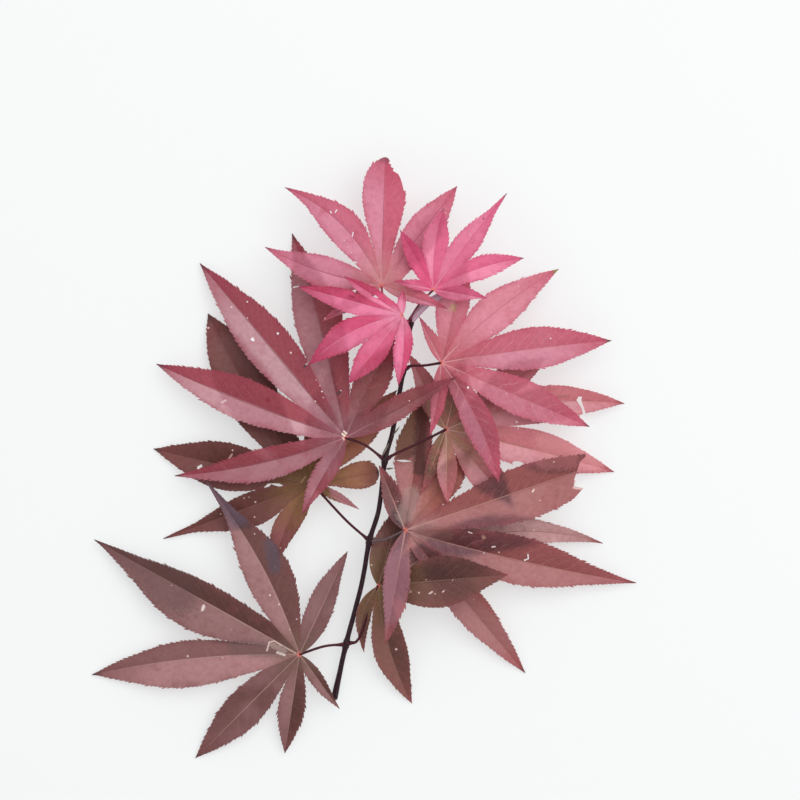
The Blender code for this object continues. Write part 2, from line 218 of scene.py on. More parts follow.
LEAVES = {
    "leaf_top": Leaf(
        stem_node="fourth",
        hub=(-7.4, 45.6, 25.5),
        petiole=[(-1.4, 16.0, 22.5), (-3.2, 22.0, 23.0), (-6.2, 36.0, 24.4)],
        lobes=[
            Lobe(26.2, -9.4, 33.0, 4.8, droop=1.6),
            Lobe(30.3, 40.0, 14.0, 13.0, sinus=0.24),
            Lobe(1.4, 51.6, 12.0, 16.8, fall=0.8),
            Lobe(-38.8, 39.5, 13.0, 13.0, sinus=0.19, bow=-5.8, fall=2.0),
            Lobe(-46.6, 15.6, 15.0, 11.6, bow=2.2, fall=2.0),
            Lobe(-24.0, -14.5, 20.0, 5.0),
        ],
    ),
    "leaf_tip_left": Leaf(
        stem_node="tip",
        hub=(0.9, 33.8, 31.0),
        petiole=[(1.8, 31.5, 26.6), (0.6, 32.4, 28.8)],
        lobes=[
            Lobe(0.3, 9.8, 32.0, 3.4, sinus=0.3, fall=1.1),
            Lobe(-23.0, 15.4, 29.0, 5.2, sinus=0.42),
            Lobe(-41.6, 11.4, 27.0, 8.0, sinus=0.4),
            Lobe(-37.2, -19.8, 25.5, 11.0, sinus=0.32, bow=-3.4),
            Lobe(-21.6, -27.4, 25.5, 10.0, sinus=0.25),
            Lobe(-1.6, -28.2, 26.0, 7.2, bow=1.2),
        ],
    ),
    "leaf_tip_right": Leaf(
        stem_node="tip",
        hub=(13.2, 43.8, 28.8),
        petiole=[(4.1, 32.6, 26.9), (7.6, 38.0, 27.0)],
        lobes=[
            Lobe(21.4, -3.2, 27.6, 5.6, sinus=0.3),
            Lobe(36.2, 12.7, 26.0, 8.8, sinus=0.41, bow=2.2),
            Lobe(29.5, 38.7, 24.0, 9.4, sinus=0.48, bow=0.4, fall=2.4),
            Lobe(4.2, 32.6, 26.0, 10.4, sinus=0.37, bow=1.5),
            Lobe(-13.2, 24.0, 28.0, 6.0, sinus=0.3),
            Lobe(-15.6, 3.4, 32.5, 3.2, droop=0.6),
        ],
    ),
    "leaf_right_upper": Leaf(
        stem_node="fourth",
        hub=(16.4, 14.8, 26.5),
        petiole=[(4.6, 13.6, 23.0), (10.0, 13.8, 25.0)],
        lobes=[
            Lobe(-4.6, -29.2, 22.0, 5.4, bow=0.8),
            Lobe(23.1, -47.7, 20.5, 11.2, sinus=0.25, bow=3.0),
            Lobe(59.5, -25.5, 12.0, 14.0, sinus=0.2),
            Lobe(68.4, 9.0, 9.0, 16.0, sinus=0.23, bow=1.0),
            Lobe(47.2, 37.7, 10.0, 15.2, sinus=0.26, bow=2.4, rise=1.5),
            Lobe(10.2, 42.1, 18.0, 12.6, sinus=0.36, lean=0.15, droop=0.7),
            Lobe(-8.8, 18.6, 21.0, 3.6),
        ],
    ),
    "leaf_left_large": Leaf(
        stem_node="third",
        hub=(-21.8, -15.0, 20.0),
        petiole=[(-14.0, -18.0, 19.4)],
        lobes=[
            Lobe(44.2, 24.0, 31.0, 8.8, sinus=0.26),
            Lobe(20.7, 39.8, 19.0, 13.0, sinus=0.24, bow=1.0),
            Lobe(-21.6, 82.0, 0.7, 18.0, sinus=0.36, bow=-1.4),
            Lobe(-58.7, 70.0, 1.5, 17.4, sinus=0.27),
            Lobe(-76.1, 29.5, 5.0, 15.6, sinus=0.17, bow=1.4, lean=-0.1),
            Lobe(-68.6, -15.4, 8.0, 11.4, bow=2.6, lean=0.15, fall=1.9),
            Lobe(-17.6, -31.0, 12.0, 8.0),
        ],
    ),
    "leaf_left_lower": Leaf(
        stem_node="second",
        hub=(-35.2, -33.6, 7.5),
        petiole=[(-22.0, -47.8, 10.6)],
        lobes=[
            Lobe(18.8, -10.2, 8.0, 3.6),
            Lobe(26.8, 4.8, 9.0, 10.8, fall=0.7),
            Lobe(34.0, 37.6, 10.0, 12.4),
            Lobe(8.8, 49.2, 9.0, 12.0),
            Lobe(-42.0, 68.4, 1.0, 20.4, bow=2.6, fall=1.3),
            Lobe(-64.0, 14.0, 0.7, 18.4, bow=0.8),
            Lobe(-60.0, -22.2, 0.7, 14.0, lean=0.2, rise=1.7, fall=2.5),
            Lobe(-15.7, -36.0, 3.0, 10.0, bow=-2.5),
        ],
    ),
    "leaf_bottom_left": Leaf(
        stem_node="first",
        hub=(-40.3, -102.0, 9.0),
        petiole=[(-30.5, -98.8, 8.2)],
        lobes=[
            Lobe(19.3, 41.4, 8.0, 10.0, sinus=0.19),
            Lobe(-37.5, 69.6, 10.0, 17.0, sinus=0.2, bow=-3.4, lean=-0.12, fall=2.5),
            Lobe(-82.6, 45.9, 3.0, 19.0, sinus=0.16, lean=0.35, fall=2.0),
            Lobe(-83.6, -8.5, 0.7, 17.6, bow=-2.5, lean=0.2),
            Lobe(-42.0, -42.0, 0.7, 14.0),
            Lobe(-6.0, -40.0, 2.0, 10.0),
            Lobe(16.0, -22.0, 5.0, 5.0),
        ],
    ),
    "leaf_right_lower": Leaf(
        stem_node="second",
        hub=(2.0, -52.1, 16.5),
        petiole=[(-6.0, -55.8, 15.2)],
        lobes=[
            Lobe(-7.8, -45.4, 21.5, 10.4, sinus=0.12, droop=0.6),
            Lobe(48.4, -57.7, 0.7, 12.4, droop=0.9),
            Lobe(93.0, -21.4, 2.0, 18.0, bow=-1.7, fall=2.0, droop=0.9),
            Lobe(70.4, 24.1, 15.0, 19.0, sinus=0.24, lean=-0.14, rise=1.1, fall=0.4),
            Lobe(28.0, 34.0, 6.0, 12.0, sinus=0.32, droop=0.7),
            Lobe(8.0, 55.3, 5.0, 14.0, sinus=0.25, lean=0.17, droop=0.7),
            Lobe(-10.4, 26.1, 21.0, 8.0),
        ],
    ),
    "leaf_bottom_right": Leaf(
        stem_node="first",
        hub=(-8.8, -74.4, 13.2),
        petiole=[(-17.4, -96.8, 6.8), (-15.0, -92.4, 8.4), (-12.4, -84.0, 10.8)],
        lobes=[
            Lobe(-5.6, -27.0, 5.0, 5.6, bow=-3.6),
            Lobe(13.6, -47.6, 0.7, 12.4, sinus=0.15, bow=-2.6),
            Lobe(52.0, 4.8, 25.0, 20.0, sinus=0.1, rise=1.5),
            Lobe(90.4, 16.8, 3.0, 14.0, bow=12.0, fall=1.8, droop=0.5),
            Lobe(10.4, 36.8, 4.0, 13.6),
        ],
    ),
    "leaf_right_middle": Leaf(
        stem_node="third",
        hub=(18.4, -11.8, 13.5),
        petiole=[(-2.0, -21.6, 18.3), (6.0, -17.9, 17.2), (12.0, -15.0, 15.4)],
        lobes=[
            Lobe(-10.0, -25.8, 14.0, 5.6),
            Lobe(0.6, -29.5, 17.5, 7.8),
            Lobe(27.6, -31.4, 8.0, 12.8, sinus=0.36),
            Lobe(67.7, -17.1, 0.7, 15.0, sinus=0.35, bow=0.8),
            Lobe(71.8, 10.4, 3.0, 14.0, sinus=0.42, bow=4.8, rise=2.2),
            Lobe(40.8, 29.0, 6.0, 11.4, lean=0.3, rise=3.0),
            Lobe(7.0, 30.0, 13.0, 9.0),
            Lobe(-15.2, 30.6, 13.0, 8.8),
        ],
    ),
}


# What is cut or torn out of the blades, in the layout. Each turn is in degrees from +X.
class Hole(NamedTuple):
    """A small hole or bite with a wavering edge."""

    x: float
    y: float
    radius: float
    stretch: float = 1.2
    turn: float = 0.0


class Slit(NamedTuple):
    """A narrow tear between two places, widest in its middle."""

    start: tuple
    end: tuple
    width: float


class TornEnd(NamedTuple):
    """Everything inside an outline, for a lobe whose end is gone."""

    outline: list


WOUNDS = {
    "leaf_top": [
        TornEnd([(-5.0, 97.6), (-4.0, 95.5), (-4.6, 94.9), (-3.4, 94.1), (-3.8, 93.4), (-2.5, 92.7),
                 (-2.9, 91.8), (-1.7, 91.0), (-0.7, 90.4), (0.2, 88.6), (0.9, 86.4), (1.5, 83.6), (6.0, 84.0),
                 (6.0, 98.0)]),
        Slit((-18.8, 55.2), (-16.8, 54.6), 0.6),
    ],
    "leaf_tip_left": [Slit((-11.8, 42.0), (-8.4, 40.6), 0.7)],
    "leaf_right_upper": [Hole(21.2, -6.2, 1.7, 1.6, 60)],
    "leaf_left_large": [Slit((-20.4, 7.4), (-19.0, 5.4), 0.7)],
    "leaf_left_lower": [
        Slit((-54.6, -35.2), (-51.4, -33.4), 1.0),
        Slit((-51.8, -33.6), (-46.8, -34.4), 1.2),
    ],
    "leaf_right_lower": [
        Slit((-1.6, -24.2), (4.8, -24.6), 0.9),
        Slit((8.4, -36.0), (14.6, -28.6), 0.9),
        TornEnd([(75.0, -19.0), (74.3, -22.6), (72.0, -24.6), (70.6, -29.2), (69.7, -31.6), (70.2, -32.6),
                 (69.4, -34.5), (73.2, -35.3), (70.8, -38.0), (70.2, -38.8), (68.4, -40.4), (68.8, -44.8),
                 (96.0, -44.8), (96.0, -19.0)]),
    ],
    "leaf_bottom_right": [Slit((-6.9, -77.4), (-4.7, -80.2), 0.7)],
    "leaf_right_middle": [
        Hole(47.2, -25.8, 1.5, 1.4),
        TornEnd([(70.8, 0.0), (71.7, 1.4), (73.1, 1.3), (72.8, 0.2), (73.2, -1.5), (73.7, -2.9), (74.3, -4.6),
                 (75.0, -7.6), (73.6, -7.6), (73.3, -5.0), (72.9, -3.3), (72.0, -1.8), (71.2, -0.7)]),
    ],
}


class Marks(NamedTuple):
    """Spots and streaks of one colour on a blade, in the layout.

    A place is a spot's x, y and radius, or the x and y of a streak's start and of its end, and its radius.
    """

    colour: tuple
    places: list
    strength: float = 0.9


# Colours that several marks share.
PALE = (244, 240, 242)
CREAM = (226, 205, 192)
BLUSH = (232, 200, 202)

MARKS = {
    "leaf_top": [
        Marks(PALE, [
            (-27.8, 75.4, -27.4, 74.8, 0.32), (-25.9, 74.9, -25.2, 75.9, 0.3),
            (-18.7, 66.8, -19.0, 65.4, 0.32),
        ]),
        Marks(BLUSH, [(-22.2, 63.6, 0.3), (-20.8, 61.2, 0.3), (-19.4, 58.8, 0.32), (-17.4, 56.6, 0.3)]),
    ],
    "leaf_tip_right": [
        Marks((90, 70, 85), [(33.2, 72.2, 0.5)]),
        Marks((85, 50, 70), [(31.6, 59.4, 32.0, 60.8, 0.4)]),
        Marks(BLUSH, [(28.0, 66.0, 0.25)]),
    ],
    "leaf_tip_left": [
        Marks((120, 20, 60), [(-20.0, 41.4, -18.4, 40.8, 0.5)], 0.6),
        Marks(BLUSH, [(-9.0, 31.0, 0.3)]),
    ],
    "leaf_right_upper": [
        Marks((190, 185, 110), [(20.2, 36.2, 22.2, 37.6, 0.9), (20.6, 38.0, 21.8, 35.6, 0.9)], 0.35),
        Marks(PALE, [(27.1, 5.0, 0.55), (60.2, 24.6, 0.3)]),
        Marks((135, 130, 60), [(62.6, 51.8, 1.7)], 0.85),
        Marks((96, 84, 66), [(75.5, -10.6, 1.2)], 0.8),
        Marks((96, 84, 60), [(84.0, 23.8, 1.4)], 0.75),
    ],
    "leaf_left_large": [
        Marks((72, 54, 58), [(-38.4, 13.2, -37.9, 13.7, 0.6)], 0.8),
        Marks((205, 190, 190), [(-37.5, 14.2, -37.0, 14.5, 0.36)]),
        Marks((80, 62, 64), [(-24.8, 2.6, -24.0, 3.2, 0.7)]),
        Marks((214, 200, 198), [(-23.6, 3.8, 0.4)]),
        Marks((128, 22, 44), [(-52.8, 0.0, 1.1)], 0.85),
        Marks((158, 48, 66), [(-52.6, 0.2, 0.45)], 0.8),
        Marks(PALE, [(-59.0, 24.2, 0.95), (-48.9, 26.6, 0.55)], 1.0),
        Marks(PALE, [(-61.2, 39.4, 0.4), (-67.6, 37.3, 0.4), (-61.2, 32.9, 0.35)]),
        Marks(BLUSH, [(-71.2, -0.9, -69.8, -0.2, 0.6)], 0.7),
        Marks(PALE, [(-42.8, 45.2, -40.6, 45.6, 0.35)]),
        Marks(CREAM, [(-33.6, 8.0, 0.3), (-32.0, 5.8, 0.3)]),
        Marks(PALE, [(-31.2, 3.4, 0.35)]),
        Marks(CREAM, [(-30.6, 1.0, 0.3)]),
        Marks((250, 232, 214), [(-22.4, -12.5, -21.3, -13.4, 0.5), (-23.0, -13.6, -22.0, -14.3, 0.5)]),
        Marks((240, 205, 195), [(-22.8, -15.0, -22.4, -15.8, 0.42)], 0.8),
    ],
    "leaf_left_lower": [
        Marks((128, 82, 82), [(-70.0, 22.0, -55.0, 0.0, 6.0)], 0.5),
        Marks((178, 116, 122), [(-25.6, -37.0, -17.0, -43.2, 3.4)]),
        Marks((150, 84, 92), [(-47.6, -56.0, -50.4, -64.0, 5.0)], 0.5),
        Marks((236, 228, 226), [(-81.0, -27.2, -80.0, -26.6, 0.8)], 1.0),
        Marks((214, 170, 165), [(-68.6, -23.4, -67.4, -21.8, 0.5)], 0.8),
        Marks((226, 196, 192), [(-58.0, -41.0, 0.5), (-62.6, -39.4, 0.35), (-60.6, -39.0, 0.3)]),
        Marks((222, 180, 172), [(-58.4, -47.0, 0.45), (-72.0, -45.8, 0.35), (-48.0, -59.4, 0.4)]),
        Marks((200, 160, 120), [(-40.4, -25.4, 0.4)]),
        Marks((190, 150, 120), [(-39.6, -33.0, -37.8, -30.6, 0.45)], 0.7),
    ],
    "leaf_bottom_left": [
        Marks((88, 60, 58), [(-116.0, -48.0, -90.0, -76.0, 14.0)], 0.55),
        Marks((108, 84, 82), [(-66.0, -99.2, -48.0, -100.6, 4.4)], 0.5),
        # The next two marks are painted shade, the blue-grey of a lobe where it lies over the leaf beneath.
        Marks((88, 72, 88), [(-75.0, -34.8, -64.4, -47.6, 4.6)], 0.62),
        Marks((92, 78, 90), [(-52.0, -57.8, -50.2, -67.0, 3.6)], 0.62),
        Marks((226, 205, 204), [(-79.3, -84.2, -78.7, -82.6, 0.75)], 0.95),
        Marks((222, 196, 194), [(-52.1, -78.2, 0.55)]),
        Marks((226, 205, 204), [(-85.2, -102.8, 0.5)]),
        Marks((214, 184, 184), [(-71.2, -103.4, 0.4), (-41.4, -87.8, 0.45), (-44.2, -92.0, 0.4)]),
        Marks((200, 160, 156), [(-91.6, -74.4, 0.35)]),
        Marks((172, 146, 136), [(-51.0, -98.4, -46.6, -100.6, 1.5)], 0.6),
        Marks((206, 180, 168), [(-41.8, -101.6, -47.4, -98.4, 0.28)], 0.7),
        Marks((222, 200, 190), [(-47.4, -98.4, -50.4, -96.6, 0.34)], 0.7),
        Marks((222, 200, 190), [
            (-50.4, -96.6, -52.4, -97.2, 0.36), (-52.4, -97.2, -53.4, -100.6, 0.4),
        ], 0.8),
        Marks((226, 208, 200), [(-49.3, -101.2, -46.3, -102.2, 0.6)], 0.8),
    ],
    "leaf_right_lower": [
        # The next three marks are painted shadow from the leaves above, on the up lobe past its tear.
        Marks((112, 74, 48), [(1.6, -20.0, 5.0, -1.0, 6.6)], 0.85),
        Marks((108, 56, 52), [(0.6, -22.0, 4.0, -21.4, 2.6)], 0.7),
        Marks((86, 48, 44), [(7.6, -28.0, 8.8, -2.0, 3.4)], 0.85),
        Marks((162, 110, 122), [(-0.8, -66.0, -4.2, -84.0, 8.0)], 0.5),
        Marks((176, 148, 142), [(2.0, -46.0, 4.6, -38.0, 4.6)], 0.5),
        Marks((172, 100, 102), [(58.0, -24.8, 68.0, -24.6, 4.4)], 0.5),
        Marks((116, 78, 72), [(9.0, -53.0, 18.0, -54.0, 4.4)], 0.5),
        Marks((168, 118, 120), [(16.0, -76.0, 40.0, -96.0, 9.0)], 0.42),
        Marks((182, 140, 122), [(33.5, -54.9, 1.0)], 0.8),
        Marks((150, 96, 86), [(33.4, -54.8, 0.45)], 0.8),
        Marks((236, 214, 208), [(27.4, -52.8, 28.8, -53.3, 0.3), (36.9, -58.9, 38.1, -58.7, 0.36)]),
        Marks(PALE, [(51.3, -62.0, 51.5, -63.6, 0.34), (51.5, -63.6, 50.0, -64.2, 0.34)]),
        Marks((236, 190, 190), [(70.0, -31.8, 69.9, -34.2, 0.5)], 0.8),
        Marks((236, 198, 196), [(69.4, -35.0, 72.4, -35.6, 0.5)], 0.8),
        Marks((96, 56, 60), [(73.4, -23.4, 72.6, -24.4, 0.6)], 0.8),
        Marks((240, 225, 220), [(53.1, -36.6, 53.6, -35.8, 0.4)]),
        Marks((235, 215, 205), [(39.6, -61.0, 0.4), (33.6, -61.3, 0.35)]),
        Marks((220, 170, 160), [(29.6, -80.0, 0.35), (59.4, -45.4, 0.35)]),
    ],
    "leaf_bottom_right": [
        Marks((226, 200, 192), [(11.8, -77.3, 12.5, -76.9, 0.42)]),
        Marks((214, 186, 176), [(14.0, -77.4, 0.36)]),
        Marks((226, 200, 192), [(17.0, -76.6, 17.6, -76.2, 0.36)]),
        Marks((210, 175, 165), [(21.0, -72.0, 0.35), (10.4, -71.9, 0.3)]),
        Marks((236, 214, 208), [(53.7, -52.2, 0.45)]),
        Marks((220, 205, 160), [(-11.4, -66.0, 0.4)]),
    ],
    "leaf_right_middle": [
        # Painted light: this mark lightens the lobe where the leaf above shades it.
        Marks((228, 154, 158), [(60.0, -17.0, 78.0, -22.4, 8.0)], 0.6),
        Marks(PALE, [(46.8, -8.8, 0.55)]),
        Marks((206, 154, 162), [(62.4, -1.6, 69.6, -1.8, 2.0)], 0.45),
        Marks((150, 110, 90), [(64.0, 1.4, 67.4, 1.6, 0.7)], 0.4),
    ],
}


class Palette(NamedTuple):
    """A blade's screen colours, with the strength of its side veins and the reach of its heart in mm.

    Dark and light are the halves of a lobe: dark is painted shade on the half turned from the light, and
    light is painted light and sheen on the half turned to it. Second is for the lobes that differ. Heart lies
    round the hub, tip towards margins and tips, beak on the last few mm. Painted backlight shade is the
    painted shade that another leaf beneath lays on the blade, where less light comes through it than
    elsewhere.
    """

    dark: tuple
    light: tuple
    second: tuple
    heart: tuple
    tip: tuple
    beak: tuple
    rib: tuple
    vein: tuple
    painted_backlight_shade: tuple = (225, 205, 210)
    veins: float = 0.22
    reach: float = 14.0


PALETTES = {
    "leaf_top": Palette(
        dark=(206, 98, 122), light=(213, 132, 155), second=(224, 145, 168), heart=(196, 128, 128),
        tip=(186, 66, 92), beak=(140, 72, 90), rib=(160, 72, 88), vein=(222, 160, 168), veins=0.3,
        reach=20.0, painted_backlight_shade=(218, 202, 204),
    ),
    "leaf_tip_left": Palette(
        dark=(214, 78, 118), light=(234, 126, 162), second=(212, 62, 104), heart=(228, 138, 168),
        tip=(172, 40, 78), beak=(146, 30, 68), rib=(228, 140, 166), vein=(232, 150, 176), veins=0.22,
        reach=12.0,
    ),
    "leaf_tip_right": Palette(
        dark=(220, 100, 138), light=(232, 134, 165), second=(206, 68, 114), heart=(208, 70, 112),
        tip=(196, 66, 104), beak=(98, 84, 92), rib=(206, 96, 128), vein=(234, 156, 178), veins=0.18,
        reach=10.0,
    ),
    "leaf_right_upper": Palette(
        dark=(203, 102, 122), light=(213, 135, 154), second=(222, 142, 158), heart=(180, 84, 94),
        tip=(188, 66, 94), beak=(150, 60, 76), rib=(186, 100, 112), vein=(228, 168, 172), veins=0.45,
        reach=27.0,
    ),
    "leaf_left_large": Palette(
        dark=(166, 75, 87), light=(208, 158, 166), second=(132, 70, 70), heart=(152, 104, 112),
        tip=(152, 52, 72), beak=(96, 44, 54), rib=(118, 58, 66), vein=(196, 138, 144), veins=0.32,
        reach=20.0,
    ),
    "leaf_left_lower": Palette(
        dark=(97, 52, 46), light=(122, 74, 70), second=(166, 109, 84), heart=(130, 98, 50),
        tip=(122, 62, 62), beak=(72, 46, 46), rib=(128, 84, 74), vein=(150, 106, 96),
        painted_backlight_shade=(200, 180, 190), veins=0.22, reach=24.0,
    ),
    "leaf_bottom_left": Palette(
        dark=(90, 51, 45), light=(148, 105, 105), second=(170, 124, 126), heart=(112, 84, 72),
        tip=(122, 68, 70), beak=(84, 48, 50), rib=(176, 140, 132), vein=(166, 124, 120),
        painted_backlight_shade=(198, 204, 218), veins=0.24, reach=16.0,
    ),
    "leaf_right_lower": Palette(
        dark=(138, 72, 71), light=(172, 113, 114), second=(160, 96, 78), heart=(168, 124, 122),
        tip=(160, 78, 84), beak=(112, 46, 52), rib=(184, 134, 124), vein=(200, 150, 143),
        painted_backlight_shade=(168, 164, 180), veins=0.3, reach=18.0,
    ),
    # Its second colour, for one lobe, is partly painted light against the shade of the leaf over it.
    "leaf_bottom_right": Palette(
        dark=(86, 50, 44), light=(118, 77, 70), second=(206, 164, 163), heart=(110, 86, 48),
        tip=(140, 78, 76), beak=(140, 62, 70), rib=(140, 104, 90), vein=(160, 116, 108),
        painted_backlight_shade=(225, 215, 220), veins=0.36, reach=24.0,
    ),
    # Its colours are partly painted light, a little lighter against the shade of the leaf that lies over it.
    "leaf_right_middle": Palette(
        dark=(200, 118, 126), light=(216, 150, 159), second=(92, 54, 42), heart=(132, 104, 68),
        tip=(186, 88, 98), beak=(150, 70, 80), rib=(170, 130, 104), vein=(222, 170, 164),
        painted_backlight_shade=(205, 190, 190), veins=0.36, reach=26.0,
    ),
}

# How far each lobe goes from the leaf's own colours to its second one, in the order of its lobes.
LOBE_TONES = {
    "leaf_top": [0.0, 0.3, 0.0, 0.2, 0.8, 0.5],
    "leaf_tip_right": [0.0, 0.0, 0.0, 0.0, 0.9, 0.3],
    "leaf_right_upper": [0.0, 0.0, 0.3, 0.0, 0.7, 0.5, 0.5],
    "leaf_left_large": [0.8, 1.0, 0.45, 0.0, 0.0, 0.2, 0.0],
    "leaf_left_lower": [0.3, 1.0, 0.7, 0.5, 0.0, 0.0, 0.0, 0.1],
    "leaf_bottom_left": [0.4, 0.1, 0.0, 0.3, 0.0, 0.0, 0.0],
    "leaf_right_lower": [0.0, 0.2, 0.0, 0.1, 0.6, 0.0, 0.0],
    "leaf_bottom_right": [0.0, 0.0, 0.0, 1.0, 0.0],
    "leaf_right_middle": [0.9, 0.0, 0.25, 0.0, 0.0, 0.2, 0.5, 0.4],
}

# How bright each lobe is beside the leaf's colours, in the order of its lobes. This is partly painted light
# and
# shade: some lobes that a leaf above shades are lightened with painted light, some are darkened with painted
# shadow of the leaves over them, and the rest is each lobe's own brightness.
LOBE_LEVELS_WITH_PAINTED_LIGHT = {
    "leaf_tip_left": [1.1, 1.1, 1.04, 1.06, 1.06, 1.1],
    "leaf_tip_right": [1.0, 1.12, 1.0, 1.08, 1.15, 1.0],
    "leaf_right_upper": [1.05, 0.86, 1.05, 0.95, 1.0, 1.0, 1.0],
    "leaf_left_large": [1.0, 1.0, 0.94, 0.87, 1.04, 1.04, 1.0],
    "leaf_left_lower": [1.0, 1.08, 1.5, 1.12, 1.0, 1.0, 1.05, 1.4],
    "leaf_bottom_left": [0.88, 1.2, 1.0, 1.36, 1.0, 1.0, 1.0],
    "leaf_right_lower": [1.3, 1.12, 1.06, 1.06, 1.15, 1.08, 0.46],
    "leaf_bottom_right": [1.0, 1.3, 1.0, 1.2, 1.0],
    "leaf_right_middle": [1.0, 1.15, 1.3, 1.12, 1.06, 1.0, 1.0, 1.1],
}

# How large the teeth of the leaves with fine ones are beside those of the others.
TOOTH_SIZES = {
    "leaf_left_lower": 0.6,
    "leaf_bottom_right": 0.7,
    "leaf_right_middle": 0.45,
    "leaf_top": 0.8,
    "leaf_tip_left": 0.75,
    "leaf_right_upper": 0.8,
}

# Where a lobe differs from the solid part's. The one whose end is torn off goes on past the tear here, and
# is then cut along it.
LOBE_CHANGES = {
    "leaf_tip_left": {0: {"width": 2.6}},
    "leaf_right_lower": {
        2: {"sinus": 0.198},
        3: {"tip_x": 88.0, "tip_y": 30.1, "tip_height": 14.6, "width": 20.6, "sinus": 0.207, "lean": -0.12,
            "rise": 1.7, "fall": 1.3},
    },
}

# Dark, light and speck colours of the woody pieces.
STEM_COLOURS = ((28, 11, 18), (62, 34, 42), (128, 112, 110))
BUD_COLOURS = ((98, 90, 82), (142, 132, 120), (90, 66, 70))
# The shoot's colours are partly painted light, lighter against the shade of the lobes over it.
SHOOT_COLOURS = ((168, 128, 148), (204, 170, 188), (220, 198, 208))
PETIOLE_COLOURS = {
    "usual": ((52, 12, 24), (90, 30, 44), (140, 90, 98)),
    "leaf_right_lower": ((84, 62, 67), (120, 98, 102), (150, 130, 135)),
    "leaf_top": ((150, 62, 84), (176, 88, 108), (190, 130, 145)),
    "leaf_tip_left": ((150, 60, 84), (180, 90, 112), (200, 140, 155)),
    "leaf_tip_right": ((84, 24, 44), (122, 46, 68), (160, 100, 115)),
}

# How thick the slimmer petioles are beside the others.
SLIM_PETIOLES = {"leaf_tip_right": 0.78, "leaf_tip_left": 0.8, "leaf_top": 0.85}

# How the streaks of each bark are stretched, and its roughness.
BARK_FINISHES = {
    "petiole": (0.12, 0.42),
    "stem": (0.16, 0.40),
    "bud_scales": (0.4, 0.5),
    "young_shoot": (0.10, 0.5),
}

# The map of what covers what. It is read from just inside its last cells.
MAP_REACH = 150.0
MAP_CELL = 0.5
MAP_SOFTNESS = 3
JUST_INSIDE = 1.001
OUTLINE_POINTS = 14
ABOVE_ALL = 99.0
SEED = 20

# Scales of the patterns on the blades and the bark, per metre. The streaks have their own, per mm.
BLOTCH_SCALE = 70.0
CLOUD_SCALE = 160.0
GRAIN_SCALE = 560.0
RIPPLE_SCALE = 330.0
WEB_SCALE = 700.0
SPECK_SCALE = 210.0
MARK_EDGE_SCALE = 1400.0
BARK_SPOT_SCALE = 900.0
STREAK_SCALE = 5.0
NOISE_ROUGHNESS = 0.55

# Strengths in the patterns. A bump is its distance in metres and its strength.
DRIFT = 0.9
TIP_DRIFT = 0.2
MARGIN_POWER = 4.0
VEIN_WANDER = 1.3
VEIN_RIPPLE = 0.3
VEIN_STAGGER = 0.45
WEB_STRENGTH = 0.06
SPECK_AT_MARGIN = 0.12
SPECK_RARITY = 0.82
SPECK_STRENGTH = 0.8
RIB_RELIEF = -0.6
SIDE_VEIN_RELIEF = 0.5
GRAIN_RELIEF = 0.35
WEB_RELIEF = -0.12
MARK_CORE = 0.5
MARK_EDGE = 1.05
BARK_SPOT_STRENGTH = 0.35
BARK_SPOT_RELIEF = 0.4
BLADE_BUMP = (0.00012, 1.0)
BARK_BUMP = (0.00015, 0.7)
BLADE_GLOSS = {"Specular IOR Level": 0.3, "Sheen Weight": 0.05, "Sheen Roughness": 0.4}
BARK_GLOSS = {"Specular IOR Level": 0.2}
BARK_ROUGHNESS_SPREAD = (-0.08, 0.12)

# Smooth steps in the patterns: where each starts and ends, and its values there.
STEPS = {
    "lit": (0.2, 0.85, 0.0, 1.0),
    "heart": (0.1, 1.0, 0.8, 0.0),
    "margin": (0.3, 0.7, 0.15, 0.7),
    "tip": (0.6, 1.0, 0.0, 0.7),
    "patches": (0.5, 0.78, 0.0, 0.45),
    "grime": (0.35, 0.75, 0.0, 0.32),
    "beak": (0.93, 0.985, 0.0, 0.85),
    "side_vein": (0.0, 0.05, 1.0, 0.0),
    "side_vein_ends": (0.5, 0.95, 1.0, 0.0),
    "side_vein_fades": (0.3, 0.6, 0.2, 1.0),
    "rib_width": (0.0, 0.9, 0.36, 0.14),
    "rib": (0.4, 1.2, 1.0, 0.0),
    "rib_fades": (0.75, 1.0, 0.7, 0.2),
    "rib_foot": (3.0, 20.0, 0.7, 0.0),
    "web": (0.0, 0.12, 1.0, 0.0),
    "hub": (0.4, 1.4, 0.85, 0.0),
    "speck_size": (0.2, 1.0, 0.035, 0.10),
    "crowding": (0.45, 0.7, 0.0, 0.4),
    "gloss": (0.2, 0.8, 0.42, 0.62),
    "mark_edge": (0.3, 0.7, 0.78, 1.35),
    "streaks": (0.35, 0.7, 0.0, 1.0),
    "bark_spots": (0.12, 0.22, 1.0, 0.0),
}
BARK_GLOSS_STEP = (0.3, 0.7)

FLOOR_SIZE = 3000.0
FLOOR_COLOUR = (172, 173, 173)
FLOOR_GLOW = 1.25
FLOOR_ROUGHNESS = 0.9
SKY_COLOUR = (242, 244, 246)
SKY_STRENGTH = 0.74
# Each lamp: azimuth and elevation in degrees, distance and width in metres, power in watts, and tint.
LIGHTS = {"window": (45.0, 60.0, 1.4, 1.5, 10.0, (1.0, 0.985, 0.97))}

LENS = 300.0
SENSOR = 36.0
FRAME_WIDTH = 320.0
LEAF_LEVEL = 15.0
CLIP_START = 0.1
CLIP_END = 20.0


def lance(along, rise, fall):
    """Half-width that grows as along^rise and ends as (1 - along)^fall, scaled to 1 at its widest."""
    widest = rise / (rise + fall)
    along = np.clip(along, 0.0, 1.0)
    return (along / widest) ** rise * ((1 - along) / (1 - widest)) ** fall


def eased(values, low, high):
    """0 below low and 1 above high, with the smooth step 3t^2 - 2t^3 between them."""
    share = np.clip((values - low) / (high - low), 0.0, 1.0)
    return share * share * (3 - 2 * share)


